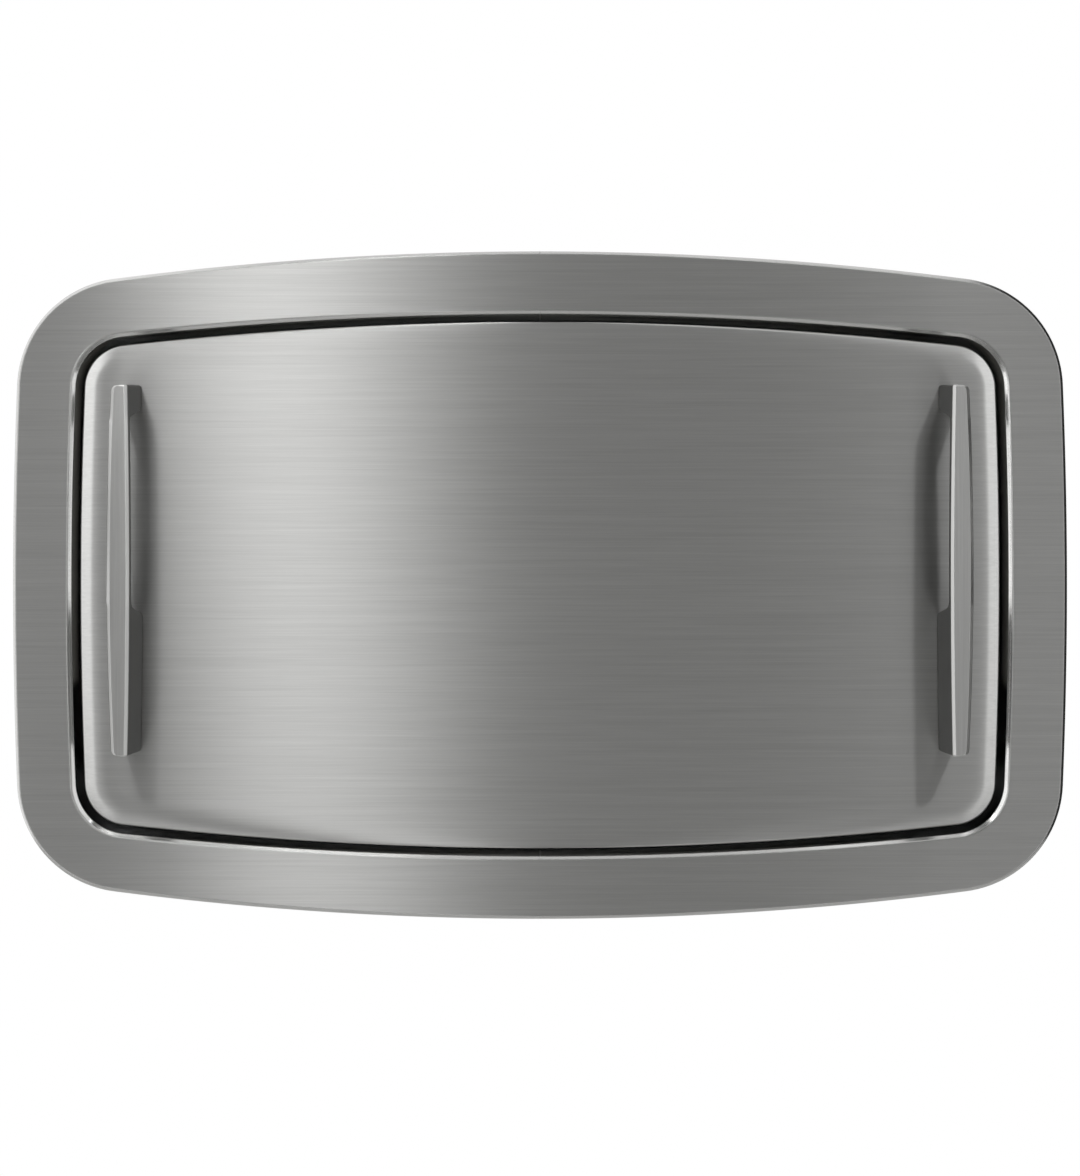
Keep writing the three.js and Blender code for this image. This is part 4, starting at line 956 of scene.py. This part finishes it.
def cornered(loop: Points) -> Section:
    """Turns a corner by quarters to the four corners of a rectangle, in the complex plane.

    Args:
        loop: a corner's points, or those of each corner, as offsets from where its edges would meet.

    Returns:
        Signs of half sizes and offsets to add to them, first along the depth and then across, so that the
        section fits any size.
    """
    quarter = np.array([1, 1j, -1, -1j])[:, None]
    offset = loop * quarter
    sign = np.broadcast_to((1 + 1j) * quarter, offset.shape)
    return sign.real.ravel(), sign.imag.ravel(), offset.real.ravel(), offset.imag.ravel()


def chamfered_section(legs: Sequence[float], soft: float = 0.4 * MM, steps: int = 4) -> Section:
    """A section with chamfered edges: each corner is two small arcs with a straight between them.

    Args:
        legs: the legs of the chamfers: deep outer, front outer, front inner and deep inner.
        soft: the small radius at both ends of each chamfer.
        steps: points on each small arc.

    Returns:
        The section.
    """
    leg = np.array(legs)[:, None] + soft * math.tan(QUARTER / 4)
    turn = np.linspace(0, QUARTER / 2, steps)[None]
    first = -soft - 1j * leg + soft * np.exp(1j * turn)
    second = -leg - 1j * soft + soft * np.exp(1j * (turn + QUARTER / 2))
    along = 0.6 * SUPPORT * np.exp(1.5j * QUARTER)
    far = leg + SUPPORT
    corner = [-1j * far, first, first[:, -1:] + along, second[:, :1] - along, second, -far]
    return cornered(np.hstack(corner))


def rounded_section(edge: float, steps: int) -> Section:
    """A section with round edges: each corner is a quarter circle of a radius, between two support points."""
    arc = edge * (np.exp(1j * np.linspace(0, QUARTER, steps)) - 1 - 1j)
    far = edge + SUPPORT
    return cornered(np.hstack([-1j * far, arc, -far]))


# Bed, back panel, straps and fasteners


class Facing(Enum):
    """Which way a fastener's head looks: its own two directions and its outward one."""

    ROOM = ((1, 0, 0), (0, 0, 1), (0, -1, 0))
    WALL = ((-1, 0, 0), (0, 0, 1), (0, 1, 0))


@dataclass
class Fasteners:
    """A set of heads on one body: domes with or without a cross recess."""

    name: str
    body: Body
    places: Sequence[Triple]
    facing: Facing
    radius: float = 3.6 * MM
    height: float = 1.9 * MM
    recess: float = 1.3 * MM
    rings: int = 16
    steps: int = 48
    rim: float = 0.35
    fullness: float = 2.6
    cross: Triple = (0.13, 0.62, 0.08)
    sunk: float = 0.2 * MM

    def head(self) -> Points:
        """One head about the origin.

        Returns:
            Rings of points. The height is a rim plus a flattened dome, less a cross whose arms are soft steps
            in shares of the radius, and the last ring is the foot, a little under the surface.
        """
        share = np.concatenate([np.linspace(0, 1, self.rings), [1]])[:, None]
        angle = np.linspace(0, math.tau, self.steps, endpoint=False)[None]
        a, b = self.radius * share * np.cos(angle), self.radius * share * np.sin(angle)
        dome = np.sqrt(np.clip(1 - share**self.fullness, 0, 1))
        arm, reach, soft = (part * self.radius for part in self.cross)
        bars = [
            soft_step(arm - np.abs(one), soft) * soft_step(reach - np.abs(other), soft)
            for one, other in ((a, b), (b, a))
        ]
        height = self.height * (self.rim + (1 - self.rim) * dome) - self.recess * np.maximum(*bars)
        height[-1] = -self.sunk
        return np.stack([a, b, height], axis=-1)

    def build(self) -> None:
        """Turns the head to its facing and repeats it at each place."""
        head = self.head() @ np.array(self.facing.value, float)
        rows, columns = head.shape[:2]
        own = np.array(grid_faces(rows, columns))
        many = np.asarray(self.places, float)[:, None, None] + head[None]
        step = rows * columns * np.arange(len(self.places))
        faces = (own[None] + step[:, None, None]).reshape(-1, 4).tolist()
        feet = np.arange((rows - 1) * columns, rows * columns)[::-1]
        faces += (feet[None] + step[:, None]).tolist()
        seated(surface(self.name, many, faces), PLATED, self.body)


def soft_step(value: Points, width: float) -> Points:
    """0 below zero and 1 above it, straight over a width."""
    return np.clip(value / width + 0.5, 0, 1)


@dataclass
class ChangingBed:
    """The moulded bed on the back of the door: a rimmed tray with a basin, notched for the hinge arms."""

    shutter: Shutter
    inset: float = 9.5 * MM
    skirt: float = 7.5 * MM
    roll: float = 8 * MM
    sheet: float = 4 * MM
    notch_width: float = 390 * MM
    notch_top: float = -106.274 * MM
    notch_corner: float = 16 * MM
    foot_corner: float = 10 * MM
    shoulder: float = 8 * MM
    basin_width: float = 372 * MM
    basin_low: float = -197.274 * MM
    basin_high: float = 203.974 * MM
    basin_corner: float = 62 * MM
    lip: float = 8 * MM
    draft: float = 18 * MM
    fillet: float = 7 * MM
    floor: float = 10 * MM
    end_steps: int = 48
    side_steps: int = 30
    corner_steps: int = 28
    notch_steps: int = 16
    foot_steps: int = 14
    ledge_steps: int = 8
    basin_steps: int = 40
    roll_steps: int = 10

    def rim(self) -> Outline:
        """The tray's outer outline.

        Returns:
            An outline of arcs from the bottom's middle round the right notch to the top's middle, mirrored.
            Each corner's centre lies where its circle touches both of its neighbours.
        """
        form = self.shutter.opening()
        side, corner, end = form.centres()
        leaves, meets = form.angles()
        end_bow, side_bow = form.end_bow - self.inset, form.side_bow - self.inset
        wall, top, foot, brow = self.notch_width, self.notch_top, self.foot_corner, self.shoulder
        foot_z = -end[1] - math.sqrt((end_bow - foot) ** 2 - (wall - foot) ** 2)
        foot_turn = math.atan2(foot_z + end[1], wall - foot)
        brow_x = side[0] + math.sqrt((side_bow - brow) ** 2 - (top + brow) ** 2)
        brow_turn = math.atan2(top + brow, brow_x - side[0])
        bend = self.notch_corner
        half = chained([
            rounded_run((0, -end[1]), end_bow, -QUARTER, foot_turn, self.end_steps),
            rounded_run((wall - foot, foot_z), foot, foot_turn, 0, self.foot_steps),
            straight_run((wall, foot_z), (wall, top - bend), self.side_steps),
            rounded_run((wall + bend, top - bend), bend, math.pi, QUARTER, self.notch_steps, hollow=True),
            straight_run((wall + bend, top), (brow_x, top), self.ledge_steps),
            rounded_run((brow_x, top + brow), brow, -QUARTER, brow_turn, self.foot_steps),
            rounded_run(side, side_bow, brow_turn, leaves, self.side_steps),
            rounded_run(corner, form.corner - self.inset, leaves, meets, self.corner_steps),
            rounded_run(end, end_bow, meets, QUARTER, self.end_steps),
        ])
        return Outline(*(np.vstack([run, run[-2:0:-1] * (-1, 1)]) for run in (half.points, half.normals)))

    def basin(self, rim: Outline) -> Outline:
        """The basin's lip, with one point on the ray from its middle to each point of the rim.

        Args:
            rim: the outer outline.

        Returns:
            A round-cornered rectangle, read at the rim's own polar angles.
        """
        middle = (self.basin_high + self.basin_low) / 2
        height = (self.basin_high - self.basin_low) / 2
        plain = rounded_rectangle(self.basin_width, height, self.basin_corner, self.basin_steps)
        turn = np.arctan2(plain.points[:, 1], plain.points[:, 0])
        order = np.argsort(turn)
        wanted = np.arctan2(rim.points[:, 1] - middle, rim.points[:, 0])
        fine = np.hstack([plain.points, plain.normals])[order]
        columns = [np.interp(wanted, turn[order], fine[:, axis], period=math.tau) for axis in range(4)]
        points, normals = np.column_stack(columns[:2]), np.column_stack(columns[2:])
        return Outline(points, normals / np.linalg.norm(normals, axis=1)[:, None]).moved(0, middle)

    def build(self) -> None:
        """Carries the rim's section and the basin's round their outlines, and thickens the sheet inwards."""
        top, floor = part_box("bed_tray")[1].y, self.floor
        outside = np.vstack([
            [(0, self.skirt), (0, top - self.roll - SUPPORT)],
            arc_run((self.roll, top - self.roll), self.roll, math.pi, QUARTER, self.roll_steps),
            [(self.roll + SUPPORT, top)],
        ])
        into = np.vstack([
            [(-self.lip - SUPPORT, top)],
            arc_run((-self.lip, top - self.lip), self.lip, QUARTER, 0, self.roll_steps),
            arc_run((self.draft, floor + self.fillet), self.fillet, math.pi, 3 * QUARTER, self.roll_steps),
            [(self.draft + SUPPORT, floor)],
        ])
        rim = self.rim()
        rows = np.concatenate([rim.swept(outside), self.basin(rim).swept(into)])
        count, columns = rows.shape[:2]
        faces = grid_faces(count, columns) + [list(range((count - 1) * columns, count * columns))]
        piece = surface("bed_moulding", rows, [face[::-1] for face in faces], closed=False)
        wall = piece.modifiers.new("sheet", "SOLIDIFY")
        wall.thickness = self.sheet
        wall.offset = -1
        wall.use_even_offset = True
        seated(piece, GREY_MOULDING, Body.BED, "bed_tray")


@dataclass
class BackPanel:
    """The moulded panel that closes the recess, with a raised field inside a flat border."""

    corner: float = 24 * MM
    border: float = 12 * MM
    ramp: float = 5 * MM
    edge: float = 0.8 * MM
    sheet: float = 3 * MM
    ramp_steps: int = 13
    edge_steps: int = 5
    corner_steps: int = 20
    screw_columns: Sequence[float] = (-0.25, 0.0, 0.25)
    screw_levels: Sequence[float] = (-0.09, 0.15)

    def build(self) -> None:
        """Carries a section round the panel: a soft edge, the border, half a cosine wave and the field."""
        low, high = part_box("back_panel")
        flat = high.y - self.sheet
        wave = np.linspace(0, math.pi, self.ramp_steps)
        ramp = np.column_stack([
            self.border - self.ramp / 2 + self.ramp * wave / math.pi,
            flat - (flat - low.y) * (1 - np.cos(wave)) / 2,
        ])
        front = np.vstack([
            [(0, high.y)],
            arc_run((self.edge, flat + self.edge), self.edge, -math.pi, -QUARTER, self.edge_steps),
            [(self.edge + SUPPORT, flat)],
            ramp,
            [(self.border + self.ramp, low.y)],
        ])
        section = np.vstack([front[::-1], front[self.edge_steps:] + (0, self.sheet)])
        outline = rounded_rectangle(*half_sizes(low, high), self.corner, self.corner_steps)
        rows = outline.moved((high.x + low.x) / 2, (high.z + low.z) / 2).swept(section)
        panel = surface("recess_panel", rows, lofted(rows, caps=True))
        seated(panel, GREY_MOULDING, Body.STATION, "back_panel")

    def screws(self) -> Fasteners:
        """Places screws along the middle of the border.

        Returns:
            The screws.
        """
        low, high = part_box("back_panel")
        rim, face = self.border / 2, high.y - self.sheet
        rows = [(x, face, z) for x in self.screw_columns for z in (low.z + rim, high.z - rim)]
        sides = [(x, face, z) for x in (low.x + rim, high.x - rim) for z in self.screw_levels]
        return Fasteners("panel_screws", Body.STATION, rows + sides, Facing.ROOM)


@dataclass
class SafetyStrap:
    """One half of the safety strap: flat webbing that lies along the basin's floor."""

    node: str
    edge: float = 1 * MM
    ripple: float = 0.12 * MM
    wave: float = 34 * MM
    stations: int = 90
    edge_steps: int = 5

    def build(self) -> None:
        """Carries a round-edged section along Z, with a small sine ripple, and maps it across and along."""
        low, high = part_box(self.node)
        sign_y, sign_x, off_y, off_x = rounded_section(self.edge, self.edge_steps)
        z = np.linspace(low.z, high.z, self.stations)[:, None]
        lift = self.ripple * (0.5 + 0.5 * np.sin(z * math.tau / self.wave))
        x = (high.x + low.x) / 2 + (high.x - low.x) / 2 * sign_x + off_x
        y = (high.y + low.y) / 2 + (high.y - low.y) / 2 * sign_y + off_y + lift
        rows = np.stack(np.broadcast_arrays(x, y, z), axis=-1)
        piece = surface(f"{self.node}_webbing", rows, lofted(rows, caps=True))
        self.map_weave(piece.data, low.x, high.x)
        seated(piece, WEBBING, Body.BED, self.node)

    def map_weave(self, mesh: Mesh, left: float, right: float) -> None:
        """Lays the map: U is the share of the width, V is the height in metres.

        Args:
            mesh: the strap's mesh.
            left: the strap's lowest X.
            right: its highest X.
        """
        places = np.empty(len(mesh.vertices) * 3)
        mesh.vertices.foreach_get("co", places)
        corners = np.empty(len(mesh.loops), int)
        mesh.loops.foreach_get("vertex_index", corners)
        at = places.reshape(-1, 3)[corners]
        flat = np.column_stack([(at[:, 0] - left) / (right - left), at[:, 2]])
        mesh.uv_layers.new(name="weave").data.foreach_set("uv", flat.ravel())


# Hardware that keeps its node's form


STRAP_ANCHORS = ("strap_anchor_upper", "strap_anchor_lower")


class Edge(Enum):
    """How wide the edges of a piece of hardware are broken."""

    FINE = 0.3 * MM
    PLAIN = 0.4 * MM
    SHEET = 0.5 * MM
    SOFT = 0.8 * MM


@dataclass(frozen=True)
class Hardware:
    """A run of nodes that share a finish, a body and their broken edges."""

    nodes: Sequence[str]
    finish: Finish
    body: Body
    edge: Edge = Edge.PLAIN

    def build(self) -> None:
        """Makes softened copies of all the nodes."""
        for node in self.nodes:
            softened(node, self.finish, self.body, self.edge.value)


def both(*stems: str) -> list[str]:
    """The nodes of both sides, stem by stem."""
    return [side.named(stem) for stem in stems for side in Side]


def hardware() -> list[Hardware]:
    """All hardware, in the order in which it is made.

    Returns:
        Runs of nodes: the recess, its bin, hooks and hinge, the bed's frame and strap, the lid, the dampers.
    """
    runs = [
        Hardware(["wall_box"], ZINC, Body.STATION, Edge.SHEET),
        Hardware(["liner_bin"], GREY_MOULDING, Body.STATION, Edge.SOFT),
        Hardware(["lid_pin", *both("stop_pin", "strut_anchor")], PLATED, Body.STATION, Edge.FINE),
        Hardware(both("bag_hook"), PLATED, Body.STATION, Edge.SOFT),
        Hardware(both("hinge_bracket"), ZINC, Body.STATION),
        Hardware(both("hinge_bush"), DARK_MOULDING, Body.STATION, Edge.FINE),
        Hardware(both("stop_sleeve"), RUBBER, Body.STATION),
        Hardware(["bed_frame", "lower_rail", *both("hinge_arm")], ZINC, Body.BED),
        Hardware(both("hinge_pin", "strut_stud"), PLATED, Body.BED, Edge.FINE),
        Hardware([*STRAP_ANCHORS, "buckle_pin"], PLATED, Body.BED, Edge.FINE),
        Hardware(["buckle_frame"], DARK_MOULDING, Body.BED),
        Hardware(["dispenser_lid"], GREY_MOULDING, Body.LID, Edge.SOFT),
        Hardware(["buckle_lever"], DARK_MOULDING, Body.LEVER),
    ]
    cylinders, rods = (Body.LEFT_CYLINDER, Body.RIGHT_CYLINDER), (Body.LEFT_ROD, Body.RIGHT_ROD)
    for side, cylinder, rod in zip(Side, cylinders, rods):
        runs += [
            Hardware([side.named("damper_cylinder")], BLACK_PAINT, cylinder),
            Hardware([side.named("damper_gland")], DARK_MOULDING, cylinder, Edge.FINE),
            Hardware([side.named("damper_rod")], PLATED, rod, Edge.FINE),
        ]
    return runs


def strap_rivets(inset: float = 3.2 * MM) -> Fasteners:
    """Rivets at both ends of the two strap anchor plates.

    Args:
        inset: how far they are from the plates' ends.

    Returns:
        The rivets.
    """
    places = []
    for node in STRAP_ANCHORS:
        low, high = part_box(node)
        places += [(x, high.y, (low.z + high.z) / 2) for x in (low.x + inset, high.x - inset)]
    return Fasteners(
        "strap_rivets", Body.BED, places, Facing.WALL,
        radius=2.4 * MM, height=1.2 * MM, recess=0.0, rings=10, steps=28,
    )


# Studio


@dataclass(frozen=True)
class Lamp:
    """A soft box that looks at the middle of the front: its direction, distance, size and light."""

    name: str
    toward: Triple
    distance: float
    size: Pair
    watts: float

    def build(self) -> None:
        """Hangs the lamp and turns it to the front."""
        light = bpy.data.lights.new(self.name, "AREA")
        light.shape = "RECTANGLE"
        light.size, light.size_y = self.size
        light.energy = self.watts
        lamp = shown(self.name, light)
        away = Vector(self.toward).normalized()
        lamp.location = away * self.distance
        lamp.rotation_euler = away.to_track_quat("Z", "Y").to_euler()


@dataclass
class Studio:
    """Camera, lamps, floor and the white surroundings."""

    camera_away: float = 1.248
    camera_height: float = -0.003
    lens: float = 40.5
    sensor: float = 36.0
    near: float = 0.01
    floor_steps: int = 9
    floor_height: float = -1.0
    floor_reach: float = 4.5
    floor_back: float = 0.7
    room_level: float = 0.1
    panel_level: float = 1.15
    left_level: float = 1.45
    soft_level: float = 0.6
    flag_depth: float = 0.97
    back_edge: Pair = (0.08, 0.3)
    side_edge: Pair = (0.46, 0.2)
    right_turn: Pair = (-0.15, 0.2)
    left_turn: Pair = (0.1, 0.2)
    lamps: Sequence[Lamp] = (
        Lamp("left_key", (-0.35, -1.0, 0.15), 1.2, (0.46, 1.0), 2.2),
        Lamp("left_high", (-0.57, -1.0, 1.0), 1.55, (0.46, 0.25), 4.2),
        Lamp("right_key", (0.64, -1.0, 1.25), 8.0, (0.45, 0.45), 24.0),
        Lamp("ceiling", (0.0, -0.45, 1.0), 2.6, (2.6, 1.0), 11.0),
    )

    def build(self) -> None:
        """Sets up everything round the object."""
        self.set_camera()
        for lamp in self.lamps:
            lamp.build()
        self.lay_floor()
        self.paint_world()
        bpy.context.scene.view_settings.view_transform = "Standard"

    def set_camera(self) -> None:
        """A level camera square to the front, as far away as the photograph's perspective says."""
        data = bpy.data.cameras.new("camera")
        data.lens = self.lens
        data.sensor_fit = "HORIZONTAL"
        data.sensor_width = self.sensor
        data.clip_start = self.near
        camera = shown("camera", data)
        camera.location = (0, -self.camera_away, self.camera_height)
        camera.rotation_euler = (QUARTER, 0, 0)
        bpy.context.scene.camera = camera

    def lay_floor(self) -> None:
        """A pale floor as far below as such a station hangs on its wall, out of the camera's view."""
        reach, back, count = self.floor_reach, self.floor_back, self.floor_steps
        x, y = np.meshgrid(np.linspace(-reach, reach, count), np.linspace(back - reach, back, count))
        points = np.stack([x, y, np.full_like(x, self.floor_height)], axis=-1)
        mesh = bpy.data.meshes.new("floor")
        faces = grid_faces(count, count, wrap_columns=False)
        mesh.from_pydata(points.reshape(-1, 3).tolist(), [], faces)
        floor = shown("floor", mesh)
        mesh.materials.append(FLOOR.material())

    def paint_world(self) -> None:
        """White for the camera, a soft even light for matt surfaces, and a room for metal to mirror.

        The room is grey, with white behind the object, a bright panel on each side towards the camera, and a
        dark flag on the right behind its panel. Each of them is a soft step of the ray's direction.
        """
        world = bpy.data.worlds.new("studio")
        bpy.context.scene.world = world
        world.use_nodes = True
        tree = ShaderTree(world.node_tree)
        way = tree.node("TexCoord", output="Generated")
        across = tree.node("SeparateXYZ", {0: way}, 0)
        inwards = across.beside(1)
        back = inwards.above(*self.back_edge)
        right, turned = across.above(*self.side_edge), inwards.above(*self.right_turn)
        left = (across * -1).above(*self.side_edge) * (1 - inwards.above(*self.left_turn))
        sides = right * (1 - turned) * self.panel_level + left * self.left_level
        mirrored_level = (back + self.room_level) * (1 - self.flag_depth * (right * turned)) + sides
        ray = tree.node("LightPath", output="Is Camera Ray")
        gloss = ray.beside("Is Glossy Ray") + ray.beside("Is Transmission Ray")
        other = gloss * mirrored_level + (1 - gloss) * self.soft_level
        level = ray + (1 - ray) * other
        tree.end("World", tree.node("Background", {"Color": (1, 1, 1, 1), "Strength": level}))


def main() -> None:
    """Builds the station from the front to the back, then the studio round it."""
    logging.basicConfig(level=logging.INFO)
    shutter = Shutter()
    shutter.build_flange()
    shutter.build_door()
    for side in Side:
        PullHandle(side).build()
    ChangingBed(shutter).build()
    panel = BackPanel()
    panel.build()
    for node in ("strap_upper", "strap_lower"):
        SafetyStrap(node).build()
    for group in hardware():
        group.build()
    panel.screws().build()
    strap_rivets().build()
    Studio().build()


if __name__ == "__main__":
    main()
